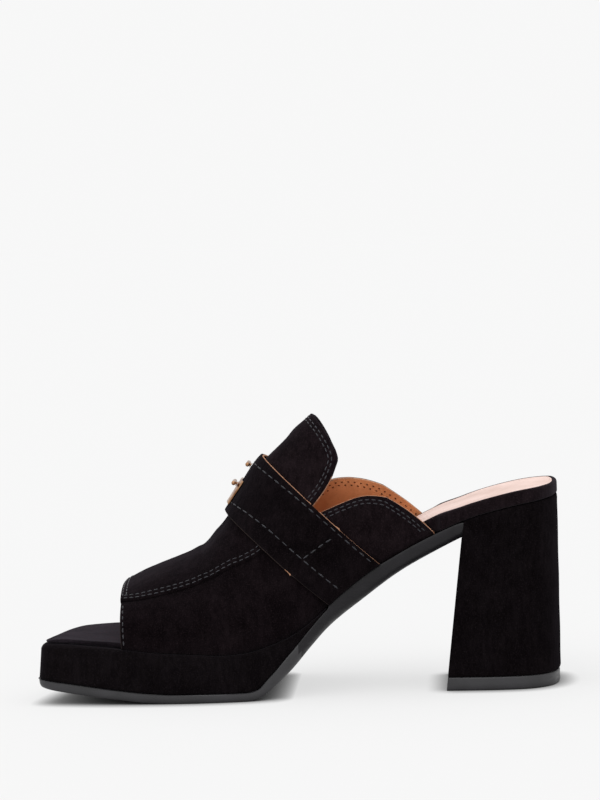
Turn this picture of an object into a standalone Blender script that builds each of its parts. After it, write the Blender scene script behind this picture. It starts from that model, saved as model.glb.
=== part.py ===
"""Block heel mule, right shoe: open toe, moccasin vamp with tongue, strap, platform and covered block heel.

Toe towards -X, heel towards +X, inner (medial) side towards -Y, up is +Z.
The origin is on the floor, under the middle of the shoe. Sizes are in metres.
"""
import math

import bmesh
import bpy
import numpy as np

# Driving sizes
SHOE_LENGTH = 0.2406
BALL_WIDTH = 0.0905
WAIST_WIDTH = 0.0570
SEAT_WIDTH = 0.0576
HEEL_HEIGHT = 0.0868
TOE_SPRING = 0.0084
PLATFORM_HEIGHT = 0.0174
OUTSOLE_THICKNESS = 0.0040
FOOTBED_THICKNESS = 0.0062
INSTEP_RISE = 0.0568

# Clearances between pieces that touch
GAP = 0.0003
FOOTBED_CLEARANCE = 0.0008
QUARTER_CLEARANCE = 0.0006

# Upper
WALL = 0.0020
APRON_WALL = 0.0024
SEAM_STEP = 0.0011
SEAM_WIDTH = 0.0007
UPPER_INSET = 0.0010
RIDGE_OFFSET = -0.0030
HALF_GIRTH = 2 * INSTEP_RISE
FLARE_PEAK = 4
STRAP_FRONT_SECTION = 0.511
NOTCH_SECTION = 0.66
STRAP_BACK_SECTION = 0.716

# Strap and its ornament
STRAP_THICKNESS = 0.0020
STRAP_STAND_OFF = 0.0005
STRAP_TENT = 0.30
PLATE_THICKNESS = 0.0008
PLATE_HALF_WIDTH = 0.0060
PLATE_FRONT_SHARE = 0.12
PLATE_BACK_SHARE = 0.53
BAR_SHARES = (0.42, 0.76)
BAR_DIAMETER = 0.0020
BAR_LENGTH = 0.0120
BAR_STAND_OFF = 0.0004
BAR_END_SHARE = 0.35
BAR_TIP_SHARE = 0.55
POST_DIAMETER = 0.0014

# Footbed and sock
FOOTBED_TOE_INSET = 0.0046
FOOTBED_TOE_RUN = 0.0100
FOOTBED_FLUSH_RUN = 0.0030
SOCK_FLUSH_RUN = 0.0240
FOOTBED_EDGE_RADIUS = 0.0012
FOOTBED_FOOT_CHAMFER = 0.0006
SOCK_THICKNESS = 0.0010
SOCK_EDGE_INSET = 0.0022
SOCK_EDGE_BEVEL = 0.0004
SOCK_FRONT_SETBACK = 0.0480
SOCK_FRONT_RAMP = 0.0080

# Platform and outsole
PLATFORM_TOE_RADIUS = 0.0032
PLATFORM_RIM_RADIUS = 0.0010
PLATFORM_RIM_RUN = 0.0060
PLATFORM_LEAST_SIDE = 0.0005
PLATFORM_INSET = 0.0008
PLATFORM_TOE_DRAFT = 0.0012
PLATFORM_END_SHARE = 0.558
SEAT_STEP = 0.0008
OUTSOLE_EDGE_INSET = 0.0010
OUTSOLE_WAIST_UNDERCUT = 0.0055
OUTSOLE_END_SETBACK = 0.0012
UNDERCUT_START_SHARE = 0.417
UNDERCUT_END_SHARE = 0.583

# Heel
BREAST_TOP_SHARE = 0.820
BREAST_FOOT_SHARE = 0.778
HEEL_BACK_RAKE = 0.0006
HEEL_FOOT_WIDTH_SHARE = 0.985
HEEL_EDGE_RADIUS = 0.0010
TOP_PIECE_THICKNESS = 0.0060
TOP_PIECE_INSET = 0.0004
TOP_PIECE_CHAMFER = 0.0007

# Mesh resolution
LONGEST_STEP = 0.0058
FIRST_STEP = 0.00006
STEP_GROWTH = 1.55
STEP_ROOM_SHARE = 0.3
SLOPE_STEP = 0.001
SECTION_STEP = 0.01
TURN_SEARCH = 0.6
SEARCH_ROUNDS = 40
CURVE_STEPS = 24
ROUND_STEPS = 12
PANEL_CELLS = 7
APRON_CELLS = 12
FRONT_ROWS = 17
STRAP_ROWS = 5
NOTCH_ROWS = 3
BACK_ROWS = 10
PLATE_CELLS_ACROSS = 10
PLATE_CELLS_ALONG = 4
SHARP_ANGLE = math.radians(32.0)

# Outline from above, once round from the toe tip along the inner side and back along the outer side.
# Columns: along as a share of the length, across as a share of the named width, and that width.
WIDTHS = {"ball": BALL_WIDTH, "waist": WAIST_WIDTH, "seat": SEAT_WIDTH}
OUTLINE = (
    (0.000, -0.318, "ball"),
    (0.004, -0.373, "ball"),
    (0.019, -0.409, "ball"),
    (0.060, -0.432, "ball"),
    (0.150, -0.472, "ball"),
    (0.312, -0.500, "ball"),
    (0.417, -0.472, "ball"),
    (0.521, -0.391, "ball"),
    (0.604, -0.497, "waist"),
    (0.700, -0.430, "waist"),
    (0.812, -0.465, "seat"),
    (0.905, -0.500, "seat"),
    (0.955, -0.462, "seat"),
    (0.985, -0.330, "seat"),
    (0.997, -0.160, "seat"),
    (1.000, 0.000, "seat"),
    (0.998, 0.205, "seat"),
    (0.989, 0.375, "seat"),
    (0.961, 0.474, "seat"),
    (0.905, 0.502, "seat"),
    (0.812, 0.514, "seat"),
    (0.700, 0.561, "waist"),
    (0.604, 0.667, "waist"),
    (0.521, 0.468, "ball"),
    (0.375, 0.500, "ball"),
    (0.250, 0.478, "ball"),
    (0.150, 0.426, "ball"),
    (0.092, 0.333, "ball"),
    (0.054, 0.210, "ball"),
    (0.031, 0.040, "ball"),
    (0.0125, -0.150, "ball"),
    (0.0025, -0.258, "ball"),
)

# Side profile of the sole, a row for each section from toe to heel.
# Columns: along (share of length), toe lift (of TOE_SPRING), underside rise (of HEEL_HEIGHT),
# height of sole and platform (of their sum), outsole (of OUTSOLE_THICKNESS), footbed (of FOOTBED_THICKNESS).
SOLE_COLUMNS = ("along", "toe_lift", "rise", "stack", "outsole", "footbed")
SOLE_SECTIONS = (
    (0.000, 1.000, 0.000, 0.910, 0.85, 0.34),
    (0.029, 0.800, 0.000, 0.980, 1.00, 0.34),
    (0.083, 0.540, 0.000, 1.050, 1.10, 0.32),
    (0.154, 0.270, 0.000, 1.080, 1.05, 0.39),
    (0.225, 0.045, 0.000, 1.075, 1.05, 0.42),
    (0.258, 0.000, 0.000, 1.060, 1.00, 0.43),
    (0.317, 0.000, 0.000, 1.020, 0.97, 0.44),
    (0.358, 0.000, 0.000, 0.990, 0.95, 0.45),
    (0.400, 0.000, 0.000, 1.020, 0.95, 0.48),
    (0.421, 0.000, 0.009, 1.030, 1.00, 0.50),
    (0.444, 0.000, 0.047, 0.950, 1.50, 0.52),
    (0.488, 0.000, 0.153, 0.710, 2.00, 0.62),
    (0.522, 0.000, 0.257, 0.533, 2.10, 0.78),
    (0.558, 0.000, 0.359, 0.450, 2.15, 0.95),
    (0.625, 0.000, 0.497, 0.480, 2.20, 1.15),
    (0.696, 0.000, 0.632, 0.405, 2.20, 1.22),
    (0.765, 0.000, 0.736, 0.375, 2.20, 1.22),
    (0.821, 0.000, 0.812, 0.338, 2.20, 1.04),
    (0.908, 0.000, 0.912, 0.200, 2.20, 1.05),
    (1.000, 0.000, 1.000, 0.016, 2.20, 0.96),
)

# Sections of the upper, a fan of planes from upright at the toe opening to a slant at the tongue's tip.
# Columns: foot (share of length where the plane meets the sole), lean (of length, from foot to ridge),
# rise (of INSTEP_RISE), roundness (exponent of the section's curve), flare (swell of the inner side).
SECTION_COLUMNS = ("foot", "lean", "rise", "roundness", "flare")
UPPER_SECTIONS = (
    (0.1665, -0.004, 0.470, 2.50, 0.00),
    (0.2330, -0.027, 0.594, 2.45, 0.00),
    (0.3080, -0.048, 0.702, 2.40, 0.00),
    (0.3920, -0.083, 0.792, 2.35, 0.00),
    (0.4750, -0.135, 0.814, 2.30, 0.01),
    (0.5540, -0.188, 0.717, 2.30, 0.04),
    (0.6040, -0.202, 0.768, 2.30, 0.09),
    (0.6520, -0.215, 0.844, 2.30, 0.14),
    (0.6920, -0.220, 0.883, 2.30, 0.17),
    (0.7290, -0.223, 0.945, 2.30, 0.18),
    (0.7630, -0.222, 1.000, 2.30, 0.18),
)

# Edges on the upper as shares of the height from sole to ridge.
# Side panels and apron share the seam as far as the notch, and part behind it into quarters and tongue.
EDGE_COLUMNS = ("section", "inner_panel", "inner_apron", "outer_panel", "outer_apron")
EDGES = (
    (0.00, 0.800, 0.800, 0.790, 0.790),
    (0.10, 0.728, 0.728, 0.745, 0.745),
    (0.18, 0.722, 0.722, 0.735, 0.735),
    (0.25, 0.733, 0.733, 0.735, 0.735),
    (0.32, 0.743, 0.743, 0.740, 0.740),
    (0.40, 0.720, 0.720, 0.725, 0.725),
    (0.50, 0.642, 0.642, 0.665, 0.665),
    (0.60, 0.585, 0.585, 0.615, 0.615),
    (0.66, 0.555, 0.555, 0.605, 0.605),
    (0.72, 0.518, 0.582, 0.617, 0.652),
    (0.80, 0.487, 0.614, 0.613, 0.690),
    (0.86, 0.456, 0.645, 0.556, 0.706),
    (0.90, 0.427, 0.675, 0.492, 0.724),
    (0.94, 0.380, 0.710, 0.403, 0.748),
    (0.97, 0.335, 0.740, 0.312, 0.772),
    (1.00, 0.280, 0.770, 0.212, 0.800),
)
QUARTER_END = {"inner": 1.0, "outer": 0.985}
QUARTER_CORNER = 0.035
TONGUE_TIP_SECTION = 0.980
TONGUE_CORNER = {"inner": 0.055, "outer": 0.085}
TONGUE_CORNER_START = {"inner": 0.45, "outer": 0.15}

# Edge of the outsole. Columns: share of its thickness, share of the undercut.
OUTSOLE_EDGE = ((0.00, 1.00), (0.18, 0.45), (0.45, 0.12), (0.75, 0.00))

# Side of the platform. Columns: share of the draft, share of the rim's radius inwards and below the seat.
PLATFORM_RIM = ((1.0, 0.0, 1.0), (1.0, 0.3, 0.3), (1.0, 1.0, 0.0))

# Sides of the heel. Columns: share of its height, share of the edge radius moved in.
HEEL_LEVELS = ((0.000, 1.00), (0.012, 0.20), (0.030, 0.00), (0.300, 0.00), (0.650, 0.00), (1.000, 0.00))

# Colours, roughness and metallic value of each piece
FINISHES = {
    "outsole": ((0.050, 0.049, 0.051), 0.55, 0.0),
    "platform": ((0.010, 0.008, 0.009), 0.95, 0.0),
    "footbed": ((0.012, 0.010, 0.012), 0.95, 0.0),
    "sock": ((0.79, 0.63, 0.58), 0.55, 0.0),
    "heel": ((0.008, 0.007, 0.008), 0.95, 0.0),
    "heel_top_piece": ((0.048, 0.047, 0.049), 0.60, 0.0),
    "upper": ((0.012, 0.009, 0.011), 0.95, 0.0),
    "strap": ((0.010, 0.008, 0.009), 0.95, 0.0),
    "ornament": ((0.70, 0.48, 0.20), 0.28, 1.0),
}


def clear_scene():
    """Remove whatever the file holds."""
    for thing in list(bpy.data.objects):
        bpy.data.objects.remove(thing, do_unlink=True)


def material(slot):
    """The named finish as a material, made once."""
    found = bpy.data.materials.get(slot)
    if found:
        return found
    colour, roughness, metallic = FINISHES[slot]
    made = bpy.data.materials.new(slot)
    made.use_nodes = True
    shader = made.node_tree.nodes["Principled BSDF"]
    shader.inputs["Base Color"].default_value = (*colour, 1.0)
    shader.inputs["Roughness"].default_value = roughness
    shader.inputs["Metallic"].default_value = metallic
    return made


def add_piece(name, slot, points, faces):
    """A closed mesh object with outward faces, smooth where it is round."""
    mesh = bpy.data.meshes.new(name)
    work = bmesh.new()
    corners = [work.verts.new(point) for point in points]
    for face in faces:
        work.faces.new([corners[index] for index in face])
    bmesh.ops.recalc_face_normals(work, faces=work.faces)
    bmesh.ops.triangulate(work, faces=work.faces)
    work.to_mesh(mesh)
    work.free()
    mesh.materials.append(material(slot))
    mesh.shade_smooth()
    mesh.set_sharp_from_angle(angle=SHARP_ANGLE)
    piece = bpy.data.objects.new(name, mesh)
    bpy.context.collection.objects.link(piece)
    return piece


def column(table, columns, name):
    """One column of a table as an array."""
    index = columns.index(name)
    return np.array([row[index] for row in table], dtype=float)


def smooth_slopes(xs, ys):
    """Slopes of a curve through the points that never overshoots them."""
    steps = np.diff(xs)
    rises = np.diff(ys) / steps
    slopes = np.zeros_like(ys)
    slopes[0] = rises[0]
    slopes[-1] = rises[-1]
    for i in range(1, len(xs) - 1):
        if rises[i - 1] * rises[i] > 0:
            first = 2 * steps[i] + steps[i - 1]
            second = steps[i] + 2 * steps[i - 1]
            slopes[i] = (first + second) / (first / rises[i - 1] + second / rises[i])
    return slopes


def smooth(xs, ys, x):
    """Value at x of the smooth curve through the points."""
    slopes = smooth_slopes(xs, ys)
    i = int(np.clip(np.searchsorted(xs, x) - 1, 0, len(xs) - 2))
    step = xs[i + 1] - xs[i]
    t = (x - xs[i]) / step
    start = ys[i] * (1 + 2 * t) * (1 - t) ** 2 + step * slopes[i] * t * (1 - t) ** 2
    finish = ys[i + 1] * t * t * (3 - 2 * t) + step * slopes[i + 1] * t * t * (t - 1)
    return float(start + finish)


def ease(value, start, end):
    """0 before start, 1 after end, and a smooth step between."""
    t = min(1.0, max(0.0, (value - start) / (end - start)))
    return t * t * (3 - 2 * t)


def place(share):
    """X of a share of the length, counted from the toe tip."""
    return (share - 0.5) * SHOE_LENGTH


def share_of(x):
    """Share of the length at x."""
    return min(1.0, max(0.0, x / SHOE_LENGTH + 0.5))


class Outline:
    """The shoe's outline from above, as an inner and an outer half from toe tip to heel."""

    def __init__(self):
        rows = [(place(along), across * WIDTHS[width]) for along, across, width in OUTLINE]
        loop = self.closed_curve(np.array(rows))
        inward = self.inward_normals(loop)
        tip = int(np.argmin(loop[:, 0]))
        loop = np.roll(loop, -tip, axis=0)
        inward = np.roll(inward, -tip, axis=0)
        back = int(np.argmax(loop[:, 0]))
        self.halves = {
            "inner": (loop[: back + 1], inward[: back + 1]),
            "outer": (
                np.vstack([loop[:1], loop[:back - 1:-1]]),
                np.vstack([inward[:1], inward[:back - 1:-1]]),
            ),
        }

    @staticmethod
    def closed_curve(rows):
        """A smooth closed curve through the rows, with each stretch paced by its length."""
        count = len(rows)
        points = []
        for i in range(count):
            four = [rows[(i + k) % count] for k in (-1, 0, 1, 2)]
            knots = [0.0]
            for a, b in zip(four, four[1:]):
                knots.append(knots[-1] + math.sqrt(float(np.linalg.norm(b - a))))
            for step in range(CURVE_STEPS):
                t = knots[1] + (knots[2] - knots[1]) * step / CURVE_STEPS
                level = list(four)
                for depth in (1, 2, 3):
                    level = [
                        blend_points(level[k], level[k + 1], *reach(knots, k, depth), t)
                        for k in range(4 - depth)
                    ]
                points.append(level[0])
        return np.array(points)

    @staticmethod
    def inward_normals(loop):
        """Unit normals that point into the outline."""
        along = np.roll(loop, -1, axis=0) - np.roll(loop, 1, axis=0)
        along /= np.linalg.norm(along, axis=1)[:, None]
        return np.stack([-along[:, 1], along[:, 0]], axis=1)

    def edge(self, side, x, inset=0.0):
        """The outline's point at x on one side, moved inwards by the inset."""
        points, inward = self.halves[side]
        xs = points[:, 0]
        y = np.interp(x, xs, points[:, 1])
        nx = np.interp(x, xs, inward[:, 0])
        ny = np.interp(x, xs, inward[:, 1])
        return x + inset * nx, y + inset * ny


def reach(knots, k, depth):
    """The knots between which a point of that depth is blended."""
    if depth == 1:
        return knots[k], knots[k + 1]
    if depth == 2:
        return knots[k], knots[k + 2]
    return knots[1], knots[2]


def blend_points(a, b, start, end, t):
    """The point between a and b at t on the knots' scale."""
    return ((end - t) * a + (t - start) * b) / (end - start)


OUTLINE_CURVE = Outline()
SOLE = {name: column(SOLE_SECTIONS, SOLE_COLUMNS, name) for name in SOLE_COLUMNS}
FAN = {name: column(UPPER_SECTIONS, SECTION_COLUMNS, name) for name in SECTION_COLUMNS}
FAN_PLACES = np.linspace(0.0, 1.0, len(UPPER_SECTIONS))
EDGE = {name: column(EDGES, EDGE_COLUMNS, name) for name in EDGE_COLUMNS}
PLATFORM_END = place(PLATFORM_END_SHARE)
BREAST_TOP = place(BREAST_TOP_SHARE)
BREAST_FOOT = place(BREAST_FOOT_SHARE)
TOE_OPENING = place(UPPER_SECTIONS[0][0])


def sole_value(name, x):
    """One column of the sole's profile at x."""
    return smooth(SOLE["along"], SOLE[name], share_of(x))


def underside(x):
    """Height of the outsole's underside."""
    return TOE_SPRING * sole_value("toe_lift", x) + HEEL_HEIGHT * sole_value("rise", x)


def seat(x):
    """Height of the line that upper and footbed stand on."""
    return underside(x) + (PLATFORM_HEIGHT + OUTSOLE_THICKNESS) * sole_value("stack", x)


def outsole_top(x):
    """Height of the outsole's upper face, which reaches the seat line behind the platform."""
    if x > PLATFORM_END:
        return seat(x)
    return underside(x) + OUTSOLE_THICKNESS * sole_value("outsole", x)


def upright_gap(x, gap=GAP):
    """The gap measured upright that leaves the named gap square to the sloping seat."""
    slope = (seat(x + SLOPE_STEP) - seat(x - SLOPE_STEP)) / (2 * SLOPE_STEP)
    return gap * math.sqrt(1 + slope * slope)


def footbed_top(x):
    """Height of the footbed's upper face."""
    full = seat(x) + upright_gap(x) + FOOTBED_THICKNESS * sole_value("footbed", x)
    return full - sock_share(x) * SOCK_THICKNESS


def sock_share(x):
    """1 where the sock lies on the footbed, 0 at the bare toe."""
    front = place(0.0) + SOCK_FRONT_SETBACK
    return ease(x, front - SOCK_FRONT_RAMP, front)


def stations(start, end, extra=()):
    """X places from start to end, close together only at the shoe's own round ends."""
    steps = []
    setback = FIRST_STEP
    step = FIRST_STEP
    while setback < SHOE_LENGTH / 2:
        steps.append(setback)
        step = min(LONGEST_STEP, step * STEP_GROWTH + FIRST_STEP)
        setback += step
    places = [place(0.0) + s for s in steps] + [place(1.0) - s for s in reversed(steps)]
    room = LONGEST_STEP * STEP_ROOM_SHARE
    fixed = [x for x in (start, end, *extra) if place(0.0) + FIRST_STEP < x < place(1.0) - FIRST_STEP]
    kept = [x for x in places if start < x < end and all(abs(x - f) > room for f in fixed)]
    return sorted(kept + fixed)


def ladder(name, slot, xs, rings, end_shift=None):
    """A slab between rings round the outline. Each ring is a pair: inset at x and side, height at x."""
    points = []
    for inset, height in rings:
        ring = []
        for side, order in (("inner", xs), ("outer", list(reversed(xs)))):
            for x in order:
                px, py = OUTLINE_CURVE.edge(side, x, inset(x, side))
                if end_shift and x == xs[-1]:
                    px = end_shift(height(px))
                ring.append((px, py, height(px)))
        points.append(ring)
    add_piece(name, slot, *ladder_faces(points, len(xs)))


def ladder_faces(rings, count):
    """Vertices and faces of stacked rings, each closed below and above by rungs from side to side."""
    size = 2 * count
    vertices = [point for ring in rings for point in ring]
    faces = []
    for level in range(len(rings) - 1):
        low = level * size
        high = low + size
        for i in range(size):
            j = (i + 1) % size
            faces.append((low + i, low + j, high + j, high + i))
    for base in (0, (len(rings) - 1) * size):
        for i in range(count - 1):
            faces.append((base + i, base + i + 1, base + size - 2 - i, base + size - 1 - i))
    return vertices, faces


def constant(value):
    """An inset that is the same all round."""
    return lambda x, side: value


def level_at(height):
    """A height that is the same all along."""
    return lambda x: height


def between(low, high, share):
    """A height at a share of the way from one profile to another."""
    return lambda x: low(x) + (high(x) - low(x)) * share


def build_outsole():
    """Rubber outsole: thin under the forefoot, thick and undercut in the waist."""
    end = BREAST_TOP - OUTSOLE_END_SETBACK
    xs = stations(place(0.0), end, extra=(PLATFORM_END, PLATFORM_END + SEAT_STEP))

    def undercut(share):
        """Inset of a ring of the edge, which turns under in the waist."""
        def inset(x, side):
            waist = ease(x, place(UNDERCUT_START_SHARE), place(UNDERCUT_END_SHARE))
            return share * (OUTSOLE_EDGE_INSET + (OUTSOLE_WAIST_UNDERCUT - OUTSOLE_EDGE_INSET) * waist)
        return inset

    rings = [(undercut(share), between(underside, outsole_top, level)) for level, share in OUTSOLE_EDGE]
    rings.append((constant(GAP), outsole_top))
    ladder("outsole", "outsole", xs, rings, lambda z: breast(z) - GAP)


def rim_radius(x):
    """Radius of the platform's upper rim: round at the open toe, slight under the upper."""
    share = ease(x, TOE_OPENING - PLATFORM_RIM_RUN, TOE_OPENING)
    return PLATFORM_TOE_RADIUS + (PLATFORM_RIM_RADIUS - PLATFORM_TOE_RADIUS) * share


def toe_draft(x):
    """How far the platform's side leans in at its top, which only its front does."""
    return PLATFORM_TOE_DRAFT * (1 - ease(x, place(0.0), TOE_OPENING))


def build_platform():
    """Suede covered platform, from the toe to where it runs out in the arch."""
    xs = stations(place(0.0), PLATFORM_END - GAP, extra=(TOE_OPENING,))

    def foot(x):
        return outsole_top(x) + upright_gap(x)

    def below(share):
        return lambda x: max(foot(x) + PLATFORM_LEAST_SIDE, seat(x) - rim_radius(x) * share)

    def side_inset(draft_share, rim_share):
        """Inset of the side face, drawn in towards its top at the toe, and of the rounded rim."""
        return lambda x, side: PLATFORM_INSET + draft_share * toe_draft(x) + rim_share * rim_radius(x)

    rings = [(side_inset(0.0, 0.0), foot)]
    rings += [(side_inset(draft, inwards), below(down)) for draft, inwards, down in PLATFORM_RIM]
    ladder("platform", "platform", xs, rings)


def footbed_inset(x, side, flush_run=FOOTBED_FLUSH_RUN):
    """Inset of the footbed: bare step at the toe, inside the upper's wall, flush behind the quarters."""
    inside = UPPER_INSET + WALL + FOOTBED_CLEARANCE
    end = quarter_end(side)
    covered = ease(x, TOE_OPENING, TOE_OPENING + FOOTBED_TOE_RUN)
    inset = FOOTBED_TOE_INSET + (inside - FOOTBED_TOE_INSET) * covered
    return inset * (1 - ease(x, end, end + flush_run))


def quarter_end(side):
    """X just behind the place where the quarter of that side ends on the sole."""
    return place(smooth(FAN_PLACES, FAN["foot"], QUARTER_END[side])) + QUARTER_CLEARANCE


def build_footbed():
    """Insole board wrapped in suede, from the toe to the heel."""
    extra = []
    for side in ("inner", "outer"):
        extra += [quarter_end(side), quarter_end(side) + FOOTBED_FLUSH_RUN]
    xs = stations(place(0.0), place(1.0), extra=extra)

    def foot(x):
        return seat(x) + upright_gap(x)

    def edged(amount):
        return lambda x, side: footbed_inset(x, side) + amount

    def side_foot(x):
        return foot(x) + FOOTBED_FOOT_CHAMFER

    def below_top(share):
        return lambda x: max(side_foot(x) + GAP, footbed_top(x) - FOOTBED_EDGE_RADIUS * share)

    rings = [(edged(FOOTBED_FOOT_CHAMFER), foot), (edged(0.0), side_foot)]
    for draft, inwards, down in PLATFORM_RIM:
        rings.append((edged(FOOTBED_EDGE_RADIUS * inwards), below_top(down) if down else footbed_top))
    ladder("footbed", "footbed", xs, rings)


def build_sock():
    """Thin leather sock glued to the footbed, cut off under the vamp."""
    xs = stations(place(0.0) + SOCK_FRONT_SETBACK, place(1.0))

    def rim(x, side):
        return footbed_inset(x, side, SOCK_FLUSH_RUN) + SOCK_EDGE_INSET

    def foot(x):
        return footbed_top(x) + upright_gap(x)

    rings = (
        (rim, foot),
        (rim, lambda x: foot(x) + SOCK_THICKNESS - SOCK_EDGE_BEVEL),
        (lambda x, side: rim(x, side) + SOCK_EDGE_BEVEL, lambda x: foot(x) + SOCK_THICKNESS),
    )
    ladder("sock", "sock", xs, rings)


def breast(z):
    """X of the heel's front face at a height."""
    return BREAST_FOOT + (BREAST_TOP - BREAST_FOOT) * min(1.0, max(0.0, z / seat(BREAST_TOP)))


def heel_ring(xs, inset, height, level):
    """A ring of the heel. The level is 0 at the floor and 1 at the footbed."""
    back = place(1.0) - HEEL_BACK_RAKE * (1 - level)
    width = HEEL_FOOT_WIDTH_SHARE + (1 - HEEL_FOOT_WIDTH_SHARE) * level
    ring = []
    for side, order in (("inner", xs), ("outer", list(reversed(xs)))):
        for x in order:
            px, py = OUTLINE_CURVE.edge(side, x, inset)
            z = height(px)
            front = breast(z)
            share = (px - BREAST_TOP) / (place(1.0) - BREAST_TOP)
            ring.append((front + (back - front) * share, py * width, z))
    return ring


def build_heel():
    """Suede covered block heel and its rubber top piece."""
    xs = stations(BREAST_TOP, place(1.0))
    foot = TOP_PIECE_THICKNESS + GAP

    def level_height(level):
        return lambda x: foot + (seat(x) - foot) * level

    rings = []
    for level, share in HEEL_LEVELS:
        rings.append(heel_ring(xs, share * HEEL_EDGE_RADIUS, level_height(level), level))
    add_piece("heel", "heel", *ladder_faces(rings, len(xs)))

    edge = TOP_PIECE_INSET
    heights = ((0.0, edge + TOP_PIECE_CHAMFER), (TOP_PIECE_CHAMFER, edge), (TOP_PIECE_THICKNESS, edge))
    rings = [heel_ring(xs, inset, level_at(z), 0.0) for z, inset in heights]
    add_piece("heel_top_piece", "heel_top_piece", *ladder_faces(rings, len(xs)))


def fan_value(name, section):
    """One column of the upper's sections."""
    return smooth(FAN_PLACES, FAN[name], section)


def edge_value(name, section):
    """Height share of one of the upper's edges."""
    return smooth(EDGE["section"], EDGE[name], section)


def turn_of(height, section):
    """Place round a section, 0 at the sole and 1 at the ridge, of a height share."""
    roundness = fan_value("roundness", section)
    return math.asin(min(1.0, max(0.0, height)) ** (roundness / 2)) / (math.pi / 2)


def upper_base(section, turn):
    """Point of the apron's level. The turn runs from -1 at the inner sole edge over 0 to 1 at the outer."""
    side = "inner" if turn < 0 else "outer"
    angle = (1 - min(1.0, abs(turn))) * math.pi / 2
    power = 2 / fan_value("roundness", section)
    height = math.sin(angle) ** power
    width = max(0.0, math.cos(angle)) ** power
    foot = place(fan_value("foot", section))
    base = seat(foot) + upright_gap(foot)
    x = foot + height * fan_value("lean", section) * SHOE_LENGTH
    z = base + height * fan_value("rise", section) * INSTEP_RISE
    outline_x = foot + (x - foot) * (1 - height) ** 2
    edge_y = OUTLINE_CURVE.edge(side, outline_x, UPPER_INSET - SEAM_STEP)[1]
    if side == "inner":
        width *= 1 + fan_value("flare", section) * FLARE_PEAK * height * (1 - height)
    y = RIDGE_OFFSET + (edge_y - RIDGE_OFFSET) * width
    return np.array((x, y, z))


def upper_point(section, turn, offset, seated=False):
    """Point of the upper moved square to its surface, outwards for a positive offset."""
    before = upper_base(section - SECTION_STEP, turn)
    after = upper_base(section + SECTION_STEP, turn)
    left = upper_base(section, max(-1.0, turn - SECTION_STEP))
    right = upper_base(section, min(1.0, turn + SECTION_STEP))
    normal = np.cross(after - before, right - left)
    normal /= np.linalg.norm(normal)
    point = upper_base(section, turn) + offset * normal
    if seated:
        point[2] = seat(point[0]) + upright_gap(point[0])
    return point


def row_sections():
    """Sections of the rows that run straight across, from the toe opening to the strap's back edge."""
    front = np.linspace(0.0, STRAP_FRONT_SECTION, FRONT_ROWS)
    under = np.linspace(STRAP_FRONT_SECTION, NOTCH_SECTION, STRAP_ROWS + 1)[1:]
    notch = np.linspace(NOTCH_SECTION, STRAP_BACK_SECTION, NOTCH_ROWS + 1)[1:]
    return [float(section) for section in (*front, *under, *notch)]


def strip_section(strip, across, row_share, start):
    """Section of a point in the rows behind the strap, whose last row follows the rounded end."""
    if strip == "apron":
        side = "inner" if across < 0.5 else "outer"
        begin = TONGUE_CORNER_START[side]
        beyond = max(0.0, (abs(2 * across - 1) - begin) / (1 - begin))
        end = TONGUE_TIP_SECTION - TONGUE_CORNER[side] * (1 - math.sqrt(max(0.0, 1 - beyond * beyond)))
    else:
        end = QUARTER_END[strip] - QUARTER_CORNER * across ** 3
    return start + (end - start) * row_share


def strip_turn(strip, across, section):
    """Turn of a point in a strip. Across is 0 to 1 from the sole up a panel, or across the apron."""
    if strip == "apron":
        low = turn_of(edge_value("inner_apron", section), section) - 1
        high = 1 - turn_of(edge_value("outer_apron", section), section)
        return low + (high - low) * across
    top = turn_of(edge_value(strip + "_panel", section), section)
    turn = 1 - (top - SEAM_WIDTH / HALF_GIRTH) * across
    return -turn if strip == "inner" else turn


def upper_columns():
    """Columns from the inner sole edge over the ridge to the outer: strip and place across it."""
    inner = [("inner", i / PANEL_CELLS) for i in range(PANEL_CELLS + 1)]
    apron = [("apron", i / APRON_CELLS) for i in range(APRON_CELLS + 1)]
    outer = [("outer", i / PANEL_CELLS) for i in range(PANEL_CELLS, -1, -1)]
    return inner + apron + outer


def wall_offsets(strip):
    """Offsets of the outer and the inner face of a strip of the upper."""
    if strip == "apron":
        return 0.0, -APRON_WALL
    return -SEAM_STEP, -SEAM_STEP - WALL


def shell(rows, active):
    """Closed shell from rows of point pairs. Active says whether the cell from a row and column is there."""
    height = len(rows)
    width = len(rows[0])
    vertices = []
    ids = {}

    def vertex(r, c, layer):
        key = (r, c, layer)
        if key not in ids:
            ids[key] = len(vertices)
            vertices.append(tuple(rows[r][c][layer]))
        return ids[key]

    faces = []
    for r in range(height - 1):
        for c in range(width - 1):
            if not active(r, c):
                continue
            corners = ((r, c), (r, c + 1), (r + 1, c + 1), (r + 1, c))
            faces.append([vertex(*corner, 0) for corner in corners])
            faces.append([vertex(*corner, 1) for corner in reversed(corners)])
            neighbours = ((r - 1, c), (r, c + 1), (r + 1, c), (r, c - 1))
            for k, (nr, nc) in enumerate(neighbours):
                inside = 0 <= nr < height - 1 and 0 <= nc < width - 1 and active(nr, nc)
                if not inside:
                    a = corners[k]
                    b = corners[(k + 1) % 4]
                    faces.append([vertex(*b, 0), vertex(*a, 0), vertex(*a, 1), vertex(*b, 1)])
    return vertices, faces


def build_upper():
    """Upper in one hollow piece: side panels, apron raised over them, tongue and two low quarters."""
    sections = row_sections()
    columns = upper_columns()
    rows = []
    for section in sections:
        rows.append([upper_pair(strip, across, section) for strip, across in columns])
    start = sections[-1]
    for k in range(1, BACK_ROWS + 1):
        row = []
        for strip, across in columns:
            row.append(upper_pair(strip, across, strip_section(strip, across, k / BACK_ROWS, start)))
        rows.append(row)
    notch_row = FRONT_ROWS - 1 + STRAP_ROWS
    seams = (PANEL_CELLS, PANEL_CELLS + 1 + APRON_CELLS)

    def active(r, c):
        return c not in seams or r < notch_row

    add_piece("upper", "upper", *shell(rows, active))


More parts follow.
